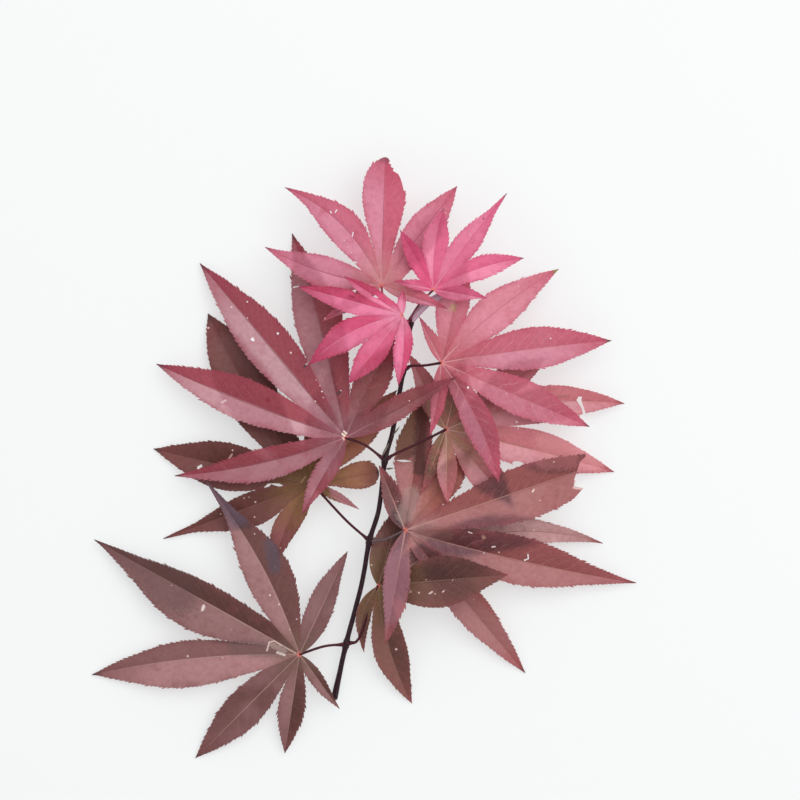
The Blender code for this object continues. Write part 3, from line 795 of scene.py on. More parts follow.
def bell(away, reach):
    """1 at no distance away, falling as exp(-(away / reach)^2)."""
    return np.exp(-((away / reach) ** 2))


def unit(rows):
    """Each row as a vector of length 1."""
    return rows / np.linalg.norm(rows, axis=1, keepdims=True)


def turns_round(count):
    """The angles of so many places evenly spaced round a circle."""
    return np.arange(count) / count * math.tau


def way_along(path):
    """How far each point of a path lies from its first, along the path."""
    return np.append(0.0, np.cumsum(np.linalg.norm(np.diff(path, axis=0), axis=1)))


class LobeFrame:
    """A lobe's midrib and its two margins, each a function of an array of shares of the way along."""

    def __init__(self, lobe, hub):
        self.lobe = lobe
        self.hub = np.array(hub)
        self.length = math.hypot(lobe.tip_x, lobe.tip_y)
        self.ahead = np.array([lobe.tip_x, lobe.tip_y]) / self.length
        self.left = np.array([-self.ahead[1], self.ahead[0]])
        # On each side that has a neighbour: the share, the half-width and the height where the sinus lies.
        self.sinus = {}

    def height(self, along):
        return self.hub[2] + (self.lobe.tip_height - self.hub[2]) * along**self.lobe.droop

    def sideways(self, along):
        return self.lobe.bow * 4 * along * (1 - along)

    def at(self, along, aside, height):
        flat = self.hub[:2] + np.outer(along * self.length, self.ahead) + np.outer(aside, self.left)
        return np.column_stack([flat, height])

    def bearing_at(self, reach):
        along = reach / self.length
        spot = self.ahead * reach + self.left * self.sideways(along)
        return math.atan2(spot[1], spot[0])

    def join(self, side, spot, height):
        self.sinus[side] = (spot @ self.ahead / self.length, side * (spot @ self.left), height)

    def fused_share(self):
        return sum(share for share, _, _ in self.sinus.values()) / len(self.sinus)

    def fused_margin(self, side, shares):
        """The line from the hub to the sinus, or the leaf's own edge where the lobe has no neighbour."""
        if side not in self.sinus:
            return self.free_margin_at(side, self.fused_share() * shares, np.zeros_like(shares))
        along, aside, height = self.sinus[side]
        return self.at(along * shares, side * aside * shares, self.hub[2] + (height - self.hub[2]) * shares)

    def free_margin_at(self, side, along, fade):
        """Half the width times a lance shape off the midrib. A fade of 1 draws it to the sinus instead."""
        half = self.lobe.width / 2 * (1 + side * self.lobe.lean)
        if side in self.sinus:
            start, aside, height = self.sinus[side]
            sinus_wide = aside - side * self.sideways(start)
            wide = half * lance(along, self.lobe.rise, self.lobe.fall)
            wide = wide + fade * (sinus_wide - half * lance(start, self.lobe.rise, self.lobe.fall))
            rise = FOLD_SLOPE * wide + fade * (height - self.height(start) - FOLD_SLOPE * sinus_wide)
        else:
            wide = half * lance(along, OUTER_RISE, self.lobe.fall)
            rise = FOLD_SLOPE * wide
        return self.at(along, self.sideways(along) + side * wide, self.height(along) + rise)

    def free_margin(self, side, shares):
        start = self.sinus[side][0] if side in self.sinus else self.fused_share()
        return self.free_margin_at(side, start + shares * (1 - start), (1 - shares) ** BLEND_POWER)

    def midrib(self, along):
        return self.at(along, self.sideways(along), self.height(along))

    def outline(self, count):
        """The lobe's edge on the plan, from the hub up the right margin and back down the left one."""
        shares = np.linspace(0, 1, count)
        right = [self.fused_margin(-1, shares), self.free_margin(-1, shares)]
        left = [self.free_margin(1, shares)[::-1], self.fused_margin(1, shares)[::-1]]
        return np.vstack(right + left)[:, :2]


def lobe_frames(leaf):
    """The lobes' frames, with each pair of neighbours joined as far as the sinus between them."""
    frames = [LobeFrame(lobe, leaf.hub) for lobe in leaf.lobes]
    for right, left in zip(frames, frames[1:]):
        mean_length = (left.length + right.length) / 2
        reach = min(right.lobe.sinus * mean_length, DEEPEST_SINUS * left.length, DEEPEST_SINUS * right.length)
        start, end = right.bearing_at(reach), left.bearing_at(reach)
        half_turn = ((end - start) % math.tau) / 2
        spot = np.array([math.cos(start + half_turn), math.sin(start + half_turn)]) * reach
        ahead, aside = reach * math.cos(half_turn), reach * math.sin(half_turn)
        height = sum(one.height(ahead / one.length) for one in (left, right)) / 2 + FOLD_SLOPE * aside
        right.join(1, spot, height)
        left.join(-1, spot, height)
    return frames


class CoverMap:
    """Where each leaf lies on the plan, and how high, on a square grid of cells."""

    def __init__(self, reach, cell):
        self.reach = reach
        self.cell = cell
        self.count = int(2 * reach / cell) + 1
        self.heights = {}

    def add(self, name, frames):
        """A lobe's height over the cells inside its outline: the midrib's height plus the fold's rise."""
        found = np.full((self.count, self.count), np.nan)
        for one in frames:
            edge = one.outline(OUTLINE_POINTS)
            low = np.maximum(np.floor((edge.min(0) + self.reach) / self.cell).astype(int), 0)
            high = np.minimum(np.ceil((edge.max(0) + self.reach) / self.cell).astype(int) + 1, self.count)
            xs = np.arange(low[0], high[0]) * self.cell - self.reach
            ys = np.arange(low[1], high[1]) * self.cell - self.reach
            x, y = np.meshgrid(xs, ys, indexing="ij")
            inside = inside_outline(x, y, edge)
            away = np.stack([x - one.hub[0], y - one.hub[1]], axis=-1)
            along = np.clip(away @ one.ahead / one.length, 0, 1)
            aside = np.abs(away @ one.left - one.sideways(along))
            height = one.height(along) + FOLD_SLOPE * aside
            patch = found[low[0] : high[0], low[1] : high[1]]
            patch[inside] = np.fmax(patch[inside], height[inside])
        self.heights[name] = found

    def painted_backlight_shade_share(self, name):
        """Painted shade share: 1 where another leaf lies beneath this one and 0 where none does, softened
        over some cells.
        """
        own = self.heights[name]
        beneath = np.zeros(own.shape, bool)
        for other, height in self.heights.items():
            if other != name:
                beneath |= height < np.where(np.isnan(own), ABOVE_ALL, own)
        shade = beneath.astype(float)
        for _ in range(MAP_SOFTNESS):
            shade[1:-1] = (shade[:-2] + 2 * shade[1:-1] + shade[2:]) / 4
            shade[:, 1:-1] = (shade[:, :-2] + 2 * shade[:, 1:-1] + shade[:, 2:]) / 4
        return shade

    def read(self, values, points):
        """The map's value under each point, blended from the four cells round it."""
        place = np.clip((points[:, :2] + self.reach) / self.cell, 0, self.count - JUST_INSIDE)
        cell = place.astype(int)
        share = place - cell
        x, y = cell[:, 0], cell[:, 1]
        near = values[x, y] * (1 - share[:, 1]) + values[x, y + 1] * share[:, 1]
        far = values[x + 1, y] * (1 - share[:, 1]) + values[x + 1, y + 1] * share[:, 1]
        return near * (1 - share[:, 0]) + far * share[:, 0]


def inside_outline(x, y, edge):
    """True for each point that an even-odd count of the outline's crossings puts inside it."""
    inside = np.zeros(x.shape, bool)
    for (x0, y0), (x1, y1) in zip(edge, np.roll(edge, -1, axis=0)):
        if y0 != y1:
            crosses = (y0 > y) != (y1 > y)
            inside ^= crosses & (x < (x1 - x0) * (y - y0) / (y1 - y0) + x0)
    return inside


def toothed_margin(one, side, teeth, tooth_size, draws):
    """The free margin with teeth that lean towards the tip.

    Each tooth has one row for each phase: the margin moves outwards by the tooth's depth times its rise
    there, less the notch's share, and towards the tip by its lean. Lengths and depths vary at random.
    Near the lobe's tip the margin lies further out, by the bluntness times the root of the way to go.
    """
    lengths = draws.uniform(*LENGTH_SPREAD, teeth)
    starts = np.concatenate([[0.0], np.cumsum(lengths)]) / lengths.sum()
    shares = (starts[:-1, None] + np.diff(starts)[:, None] * TOOTH_PHASES).ravel()
    in_run = np.arange(teeth) % TEETH_IN_A_RUN
    run = np.where(in_run == draws.integers(TEETH_IN_A_RUN), FIRST_IN_RUN, REST_OF_RUN)
    grown = 1 + TOOTH_GROWTH * np.linspace(0, 1, teeth) ** GROWTH_POWER
    depth = TOOTH_DEPTH * tooth_size * run * grown * draws.uniform(*DEPTH_SPREAD, teeth)
    depth = np.append(np.repeat(depth, len(TOOTH_PHASES)), 0.0)
    shares = np.append(shares, 1.0)
    rise = np.append(np.tile(TOOTH_RISE, teeth), 0.0)
    forward = np.append(np.tile(TOOTH_FORWARD, teeth), 0.0)
    margin = one.free_margin(side, shares)
    before = one.free_margin(side, np.maximum(shares - TRAVEL_STEP, 0))
    travel = (one.free_margin(side, np.minimum(shares + TRAVEL_STEP, 1)) - before)[:, :2]
    travel = travel / np.maximum(np.linalg.norm(travel, axis=1, keepdims=True), NEARLY_NOTHING)
    outward = side * np.column_stack([-travel[:, 1], travel[:, 0]])
    start = one.sinus[side][0] if side in one.sinus else one.fused_share()
    along = start + shares * (1 - start)
    half_width = np.linalg.norm(margin[:, :2] - one.midrib(along)[:, :2], axis=1)
    to_go = one.length * (1 - along)
    fullness = np.minimum(half_width.max() / FULL_HALF_WIDTH, 1)
    blunt = TIP_BLUNTNESS * np.sqrt(to_go) * eased(along, *TIP_BEGINS) * fullness
    margin[:, :2] += outward * blunt[:, None]
    toothed = margin.copy()
    deepest = DEEPEST_SHARE * half_width + DEEPEST_LEAST
    depth = np.minimum(depth, deepest) * eased(shares, *TEETH_BEGIN) * (1 - eased(shares, *TEETH_END))
    toothed[:, :2] += outward * (depth * (rise - NOTCH_SHARE))[:, None]
    toothed[:, :2] += travel * (depth * TOOTH_LEAN * forward)[:, None]
    return toothed, margin


def lobe_grid(one, tone, level, tooth_size, draws):
    """A lobe's blade as rows and columns of points, and its UV maps, with a pair of values at each point.

    Each row runs across the midrib from the right margin to the left one.

    Height is that of the straight row, plus a pillow that is fullest half-way across, plus a quilting
    between side veins, plus a slow wave along the free margin.
    """
    fused = np.linspace(0, 1, FUSED_ROWS + 1)[:-1]
    start = one.fused_share()
    teeth = max(int(one.length * (1 - start) / TOOTH_LENGTH), FEWEST_TEETH)
    free = np.linspace(0, 1, teeth * len(TOOTH_PHASES) + 1)
    midrib_shares = np.concatenate([start * fused, start + free * (1 - start)])
    middle = one.midrib(midrib_shares)
    halves = {}
    for side in (-1, 1):
        toothed, smooth = toothed_margin(one, side, teeth, tooth_size, draws)
        inner = one.fused_margin(side, fused)
        margin = np.vstack([inner, smooth])
        outermost = np.vstack([inner, toothed])
        points = middle[:, None] + ACROSS_SHARES[:, None] * (margin - middle)[:, None]
        points[:, -1] = outermost
        wide = np.linalg.norm(margin[:, :2] - middle[:, :2], axis=1)
        aside = ACROSS_SHARES * wide[:, None]
        along = (midrib_shares * one.length)[:, None] + 0 * aside
        belly = 4 * ACROSS_SHARES * (1 - ACROSS_SHARES)
        phase = (along - VEIN_SLANT * aside - VEIN_CURVE * aside**2) / VEIN_SPACING
        fullness = np.minimum(wide / FULL_HALF_WIDTH, 1)[:, None]
        lift = (PILLOW + QUILT * np.cos(math.tau * phase)) * belly * fullness
        wave = np.sin(math.tau * along / WAVE_LENGTH + draws.uniform(0, math.tau))
        freedom = np.append(0 * fused, eased(free, *WAVE_BEGINS) * (1 - eased(free, *WAVE_ENDS)))
        lift = lift + WAVE_HEIGHT * wave * ACROSS_SHARES**2 * freedom[:, None]
        points[:, :, 2] += lift
        # Which way each half of the lobe turns to the light on the plan, for its painted light and shade.
        slope = np.gradient(one.sideways(midrib_shares)) / np.gradient(midrib_shares * one.length)
        left = unit(one.left - slope[:, None] * one.ahead)
        facing_light = (-side * (left @ LIGHT_WAY))[:, None] + 0 * aside
        halves[side] = (points, along, side * aside, facing_light)

    def both(index):
        return np.concatenate([halves[-1][index][:, :0:-1], halves[1][index]], axis=1)

    pairs = {
        "place_on_lobe": (both(1), both(2)),
        "facing_light_and_share": (both(3) / 2 + 0.5, midrib_shares[:, None]),
        "edge_and_painted_backlight_shade": (np.concatenate([ACROSS_SHARES[:0:-1], ACROSS_SHARES]), 0.0),
        "tone_and_level": (tone, level),
    }
    shape = (len(midrib_shares), COLUMNS)
    maps = {title: np.dstack([np.broadcast_to(one, shape) for one in pair]) for title, pair in pairs.items()}
    return both(0), maps


def mesh_from(name, points, faces, maps, readers=None):
    """A mesh from arrays, in scene coordinates, with a UV map for each named pair of values at its points.

    Readers are the points whose values the faces' corners take, where they aren't the corners' own.
    """
    mesh = bpy.data.meshes.new(name)
    mesh.vertices.add(len(points))
    mesh.vertices.foreach_set("co", ((points + LAYOUT_TO_ORIGIN) * MM).ravel())
    mesh.loops.add(faces.size)
    mesh.loops.foreach_set("vertex_index", faces.ravel())
    mesh.polygons.add(len(faces))
    mesh.polygons.foreach_set("loop_start", np.arange(len(faces)) * faces.shape[1])
    mesh.update(calc_edges=True)
    corners = (faces if readers is None else readers).ravel()
    for title, values in maps.items():
        layer = mesh.uv_layers.new(name=title)
        layer.uv.foreach_set("vector", values[corners].ravel())
    mesh.validate()
    return mesh


def as_triangles(quads):
    return np.vstack([quads[:, [0, 1, 2]], quads[:, [0, 2, 3]]])


def closed_rings(rows, tips):
    """Rings of points as a closed skin: triangles between neighbouring rings, and a fan round each tip."""
    count, sides = rows.shape[:2]
    around = np.arange(sides)
    onward = (around + 1) % sides
    start = np.arange(count - 1)[:, None] * sides
    corners = (start + around, start + onward, start + onward + sides, start + around + sides)
    quads = np.stack(corners, axis=-1).reshape(-1, 4)
    last = (count - 1) * sides
    fans = [
        np.column_stack([onward, around, np.full(sides, count * sides)]),
        np.column_stack([last + around, last + onward, np.full(sides, count * sides + 1)]),
    ]
    return np.vstack([rows.reshape(-1, 3), tips]), np.vstack([as_triangles(quads), *fans])


def joined_faces(rows):
    """The lobes' faces as triangles on shared points, and the grid points that their corners read from.

    The lobes' grids, of so many rows each, follow one another. All first rows become one point, the hub,
    and each last row one, the lobe's tip. Neighbouring lobes share the margin from the hub to the sinus. A
    triangle that this leaves without width is dropped.
    """
    starts = np.cumsum([0, *rows]) * COLUMNS
    owner = np.arange(starts[-1])
    quads = []
    for count, start in zip(rows, starts):
        last = start + (count - 1) * COLUMNS
        owner[start : start + COLUMNS] = 0
        owner[last : last + COLUMNS] = last
        row, column = np.meshgrid(np.arange(count - 1), np.arange(COLUMNS - 1), indexing="ij")
        first = start + (row * COLUMNS + column).ravel()
        quads.append(np.column_stack([first, first + COLUMNS, first + COLUMNS + 1, first + 1]))
    fused = np.arange(1, FUSED_ROWS + 1) * COLUMNS
    for start, next_start in zip(starts, starts[1:-1]):
        owner[next_start + fused] = start + fused + COLUMNS - 1
    readers = as_triangles(np.vstack(quads))
    faces = owner[readers]
    wide = (faces[:, 0] != faces[:, 1]) & (faces[:, 1] != faces[:, 2]) & (faces[:, 2] != faces[:, 0])
    return faces[wide], readers[wide]


def shown(name, data):
    made = bpy.data.objects.new(name, data)
    bpy.context.scene.collection.objects.link(made)
    return made


def solid_mesh(piece, name):
    """The piece's mesh with its modifiers in it, and the piece left without them."""
    bpy.context.view_layer.update()
    graph = bpy.context.evaluated_depsgraph_get()
    mesh = bpy.data.meshes.new_from_object(piece.evaluated_get(graph))
    mesh.name = name
    piece.modifiers.clear()
    piece.data = mesh


def prisms(outlines, bottom, top):
    """Upright prisms over plan outlines, as the points and faces of one mesh."""
    points, faces = [], []
    for outline in outlines:
        onward = np.roll(outline, -1, axis=0)
        if (outline[:, 0] * onward[:, 1] - outline[:, 1] * onward[:, 0]).sum() < 0:
            outline = outline[::-1]
        rows = np.array([np.insert(outline, 2, height, axis=1) for height in (bottom, top)])
        more, skin = closed_rings(rows, rows.mean(1))
        faces.append(skin + sum(len(block) for block in points))
        points.append(more)
    return np.vstack(points), np.vstack(faces)


def cut_away(piece, outlines):
    """Takes the outlines' prisms out of a blade, right through it."""
    points, faces = prisms(outlines, CUTTER_BOTTOM, CUTTER_TOP)
    cutter = shown(piece.name + "_cutter", mesh_from(piece.name + "_cutter", points, faces, {}))
    cut = piece.modifiers.new("cut", "BOOLEAN")
    cut.operation = "DIFFERENCE"
    cut.object = cutter
    cut.solver = "MANIFOLD"
    solid_mesh(piece, piece.name)
    bpy.data.objects.remove(cutter, do_unlink=True)


def wound_outline(wound, draws):
    """A wound's edge on the plan: a wavering ellipse, a lens from start to end, or the outline given."""
    if isinstance(wound, TornEnd):
        return np.array(wound.outline)
    if isinstance(wound, Slit):
        start, end = np.array(wound.start), np.array(wound.end)
        share = np.linspace(0, 1, SLIT_POINTS)
        across = np.array([start[1] - end[1], end[0] - start[0]]) / np.linalg.norm(end - start)
        half = wound.width / 2 * np.sin(math.pi * share) * draws.uniform(*EDGE_SPREAD, SLIT_POINTS)
        half = half[:, None] * across
        line = start + (end - start) * share[:, None]
        return np.vstack([line - half, (line + half)[SLIT_POINTS - 2 : 0 : -1]])
    angle = turns_round(HOLE_POINTS)
    size = wound.radius * draws.uniform(*EDGE_SPREAD, HOLE_POINTS)
    flat = np.column_stack([np.cos(angle) * size * wound.stretch, np.sin(angle) * size])
    turn = math.radians(wound.turn)
    spin = np.array([[math.cos(turn), math.sin(turn)], [-math.sin(turn), math.cos(turn)]])
    return flat @ spin + np.array([wound.x, wound.y])


def blade_piece(name, leaf, cover, draws):
    """A leaf's blade: its lobes' grids welded into one sheet and given a thickness, with its holes cut."""
    count = len(leaf.lobes)
    tones = LOBE_TONES.get(name, [0.0] * count)
    levels = LOBE_LEVELS_WITH_PAINTED_LIGHT.get(name, [1.0] * count)
    tooth_size = TOOTH_SIZES.get(name, 1.0)
    lobes = zip(lobe_frames(leaf), tones, levels)
    grids = [lobe_grid(one, tone, level, tooth_size, draws) for one, tone, level in lobes]
    points = np.vstack([points.reshape(-1, 3) for points, _ in grids])
    maps = {title: np.vstack([maps[title].reshape(-1, 2) for _, maps in grids]) for title in grids[0][1]}
    # The share of painted backlight shade: where another leaf lies beneath, less light comes through the
    # blade.
    maps["edge_and_painted_backlight_shade"][:, 1] = cover.read(cover.painted_backlight_shade_share(name), points)
    faces, readers = joined_faces([len(points) for points, _ in grids])
    used, place = np.unique(faces, return_inverse=True)
    mesh = mesh_from(name, points[used], place.reshape(-1, 3), maps, readers)
    piece = shown(name + "_blade", mesh)
    shell = piece.modifiers.new("thickness", "SOLIDIFY")
    shell.thickness = BLADE_THICKNESS * MM
    shell.offset = 0.0
    solid_mesh(piece, name + "_blade")
    if name in WOUNDS:
        cut_away(piece, [wound_outline(wound, draws) for wound in WOUNDS[name]])
    piece.data.shade_smooth()
    piece.data.set_sharp_from_angle(angle=math.radians(SHARP_ANGLE))
    return piece


def smooth_path(points, count):
    """Catmull-Rom points through the given ones, evenly spread over their stretches."""
    points = np.array(points, float)
    ends = np.vstack([2 * points[0] - points[1], points, 2 * points[-1] - points[-2]])
    whole = np.linspace(0, len(points) - 1, count)
    stretch = np.minimum(whole.astype(int), len(points) - 2)
    share = (whole - stretch)[:, None]
    before, start, end, after = (ends[stretch + shift] for shift in range(4))
    return 0.5 * (
        2 * start
        + (end - before) * share
        + (2 * before - 5 * start + 4 * end - after) * share**2
        + (3 * start - before - 3 * end + after) * share**3
    )


def tube_piece(name, path, radii, sides):
    """A round tube along a path, closed by a rounded end at either side.

    Its points are path + radius * (cos a * sideways + sin a * upwards). The radii are an array with a
    row for each place on the path, and a column for each angle or one for all.
    """
    path = np.asarray(path)
    radii = np.broadcast_to(np.asarray(radii).reshape(len(path), -1), (len(path), sides))
    travel = unit(np.gradient(path, axis=0))
    sideways = unit(np.cross(travel, [0.0, 0.0, 1.0]))
    upwards = np.cross(sideways, travel)
    angle = turns_round(sides)
    ring = np.cos(angle)[:, None] * sideways[:, None, :] + np.sin(angle)[:, None] * upwards[:, None, :]
    body = path[:, None, :] + radii[:, :, None] * ring
    caps, tips = [], []
    for end, way in ((0, -1), (-1, 1)):
        out = way * travel[end] * radii[end].mean() * CAP_REACH
        tips.append(path[end] + out)
        for turn in CAP_TURNS:
            wide = radii[end][:, None] * math.cos(turn) * ring[end]
            caps.append(path[end] + out * math.sin(turn) + wide)
    rows = np.concatenate([caps[len(CAP_TURNS) - 1 :: -1], body, caps[len(CAP_TURNS) :]])
    count = len(rows)
    points, faces = closed_rings(rows, tips)
    along = way_along(rows.mean(1))
    place = np.column_stack([np.repeat(along, sides), np.tile(np.sin(angle), count)])
    share = np.column_stack([np.repeat(along / along[-1], sides), np.tile(np.cos(angle), count)])
    ends = [[0.0, 0.0], [along[-1], 0.0]]
    maps = {
        "place_on_tube": np.vstack([place, ends]),
        "share_of_tube": np.vstack([share, [[0.0, 0.0], [1.0, 0.0]]]),
    }
    made = shown(name, mesh_from(name, points, faces, maps))
    made.data.shade_smooth()
    return made


def stem_radius(path):
    """An even taper with a flare at the cut end and a swelling round each leaf pair's node."""
    base, top = STEM_PATH[0][1], STEM_PATH[-1][1]
    share = (path[:, 1] - base) / (top - base)
    from_cut = np.linalg.norm(path - path[0], axis=1)
    flare = (CUT_RADIUS - LOW_RADIUS) * bell(from_cut, CUT_FLARE_REACH)
    radius = LOW_RADIUS + (TIP_RADIUS - LOW_RADIUS) * share + flare
    for node in STEM_NODES.values():
        away = np.linalg.norm(path - np.array(node), axis=1)
        radius = radius + NODE_SWELL * bell(away, NODE_SWELL_REACH)
    return radius


def stem_piece(draws):
    """The stem: its radius wavers slowly, and has fine ridges lengthwise and a raised ring at each node."""
    path = smooth_path(STEM_PATH, STEM_ROWS)
    angle = turns_round(STEM_SIDES)
    radii = stem_radius(path)[:, None] + np.zeros(STEM_SIDES)
    along = np.linspace(0, 1, len(path))[:, None]
    for count, depth in STEM_RIDGES:
        twist = draws.uniform(-RIDGE_TWIST, RIDGE_TWIST)
        swings = math.tau * (along * draws.uniform(*RIDGE_SWINGS) + draws.uniform())
        turned = count * angle + twist * along * math.tau + draws.uniform(0, RIDGE_TURN)
        radii = radii + depth * (1 + RIDGE_SWING * np.sin(swings)) * np.sin(turned)
    for node in STEM_NODES.values():
        away = path[:, 1] - node[1]
        for offset, height in NODE_RINGS:
            radii = radii + height * bell(away - offset, RING_WIDTH)[:, None]
    return tube_piece("stem_bark", path, radii, STEM_SIDES)


def petiole_piece(name, leaf):
    """A petiole: a tube from inside the stem's surface to the hub, wide at its foot, slightly at its head."""
    node = np.array(STEM_NODES[leaf.stem_node])
    hub = np.array(leaf.hub) - [0, 0, HUB_SINK]
    first = np.array(leaf.petiole[0])
    away = (first - node) / np.linalg.norm(first - node)
    starts = [node + away * distance for distance in PETIOLE_STARTS]
    path = smooth_path([*starts, *leaf.petiole, hub], PETIOLE_ROWS)
    travelled = way_along(path)
    foot = (PETIOLE_FOOT_RADIUS - PETIOLE_RADIUS) * bell(travelled, PETIOLE_FOOT_REACH)
    head = PETIOLE_HEAD_RISE * bell(travelled[-1] - travelled, PETIOLE_HEAD_REACH)
    radii = SLIM_PETIOLES.get(name, 1.0) * (PETIOLE_RADIUS + foot + head)
    return tube_piece(name + "_petiole", path, radii, PETIOLE_SIDES)


def bud_piece(name, middle, half_length, half_width, turn):
    """A pointed-oval bud scale: its radius goes as sin(pi t)^0.8 times (1.15 - 0.45 t), foot to point."""
    direction = np.array([math.cos(math.radians(turn)), math.sin(math.radians(turn)), 0.0])
    share = np.linspace(*BUD_ENDS, BUD_ROWS)
    path = np.array(middle) + np.outer((share * 2 - 1) * half_length, direction)
    path[:, 2] += BUD_LIFT * share**2
    radii = half_width * np.sin(math.pi * share) ** BUD_POWER * (BUD_FOOT_SHARE - BUD_THINNING * share)
    return tube_piece(name, path, radii, BUD_SIDES)


def shoot_piece():
    """The young shoot: thickest half-way along, its radius the foot's plus a half-sine bulge."""
    path = smooth_path(SHOOT_PATH, SHOOT_ROWS)
    bulge = (SHOOT_RADIUS - SHOOT_FOOT_RADIUS) * np.sin(np.linspace(0, math.pi, len(path)))
    return tube_piece("young_shoot_bark", path, SHOOT_FOOT_RADIUS + bulge, SHOOT_SIDES)


NUMBER_INPUTS = ["veins", "reach"]
COLOUR_INPUTS = [field for field in Palette._fields if field not in NUMBER_INPUTS]
INPUTS = dict.fromkeys(COLOUR_INPUTS, "NodeSocketColor") | dict.fromkeys(NUMBER_INPUTS, "NodeSocketFloat")
OUTPUTS = {"Color": "NodeSocketColor", "Roughness": "NodeSocketFloat", "Height": "NodeSocketFloat"}


def paint(red, green, blue):
    """A screen colour, 0 to 255, as the linear colour that a shader takes."""
    shares = [channel / 255 for channel in (red, green, blue)]
    linear = [share / 12.92 if share <= 0.04045 else ((share + 0.055) / 1.055) ** 2.4 for share in shares]
    return (*linear, 1.0)


HUB_COLOUR = paint(226, 112, 98)
SPECK_COLOUR = paint(240, 206, 206)
GRIME_COLOUR = (0.62, 0.50, 0.50, 1.0)


class Value:
    """A number, vector or colour in a shader. Reckoning with it adds maths nodes to the same tree."""

    def __init__(self, socket):
        self.socket = socket
        self.tree = socket.id_data

    def work(self, operation, *others):
        inputs = dict(enumerate((self, *others)))
        return Value(add(self.tree, "ShaderNodeMath", inputs, operation=operation).outputs[0])

    def __add__(self, other):
        return self.work("ADD", other)

    def __sub__(self, other):
        return self.work("SUBTRACT", other)

    def __mul__(self, other):
        return self.work("MULTIPLY", other)

    def __truediv__(self, other):
        return self.work("DIVIDE", other)

    def __pow__(self, other):
        return self.work("POWER", other)


def set_inputs(node, inputs):
    """Links each input's value to it, or sets a plain one. An input goes by its name or its number."""
    for title, value in inputs.items():
        if isinstance(value, Value):
            value.tree.links.new(value.socket, node.inputs[title])
        else:
            node.inputs[title].default_value = value


def add(tree, kind, inputs=None, **settings):
    made = tree.nodes.new(kind)
    for key, value in settings.items():
        setattr(made, key, value)
    set_inputs(made, inputs or {})
    return made


def mix(share, first, second, kind="MIX"):
    """A colour between two, or the second laid on the first by the named kind of blending."""
    inputs = {0: share, 6: first, 7: second}
    return Value(add(share.tree, "ShaderNodeMix", inputs, data_type="RGBA", blend_type=kind).outputs[2])


def ramp(value, low, high, out_low, out_high):
    """A smooth step of the value, from out_low at low to out_high at high."""
    inputs = dict(enumerate((value, low, high, out_low, out_high)))
    return Value(add(value.tree, "ShaderNodeMapRange", inputs, interpolation_type="SMOOTHSTEP").outputs[0])


def step(value, title):
    """The smooth step of that name."""
    return ramp(value, *STEPS[title])


def noise(place, scale, detail=3.0):
    inputs = {"Vector": place, "Scale": scale, "Detail": detail, "Roughness": NOISE_ROUGHNESS}
    return Value(add(place.tree, "ShaderNodeTexNoise", inputs).outputs["Fac"])


def cells(place, scale, feature="F1"):
    return add(place.tree, "ShaderNodeTexVoronoi", {"Vector": place, "Scale": scale}, feature=feature).outputs


def object_place(tree):
    return Value(add(tree, "ShaderNodeTexCoord").outputs["Object"])


def map_values(tree, title):
    """The two values of a UV map."""
    source = add(tree, "ShaderNodeUVMap", uv_map=title)
    split = add(tree, "ShaderNodeSeparateXYZ", {0: Value(source.outputs[0])})
    return Value(split.outputs[0]), Value(split.outputs[1])


def vector_work(operation, inputs, output="Vector"):
    """What a vector maths node gives, in the tree of the first of its inputs that is a Value."""
    tree = next(value.tree for value in inputs.values() if isinstance(value, Value))
    return Value(add(tree, "ShaderNodeVectorMath", inputs, operation=operation).outputs[output])


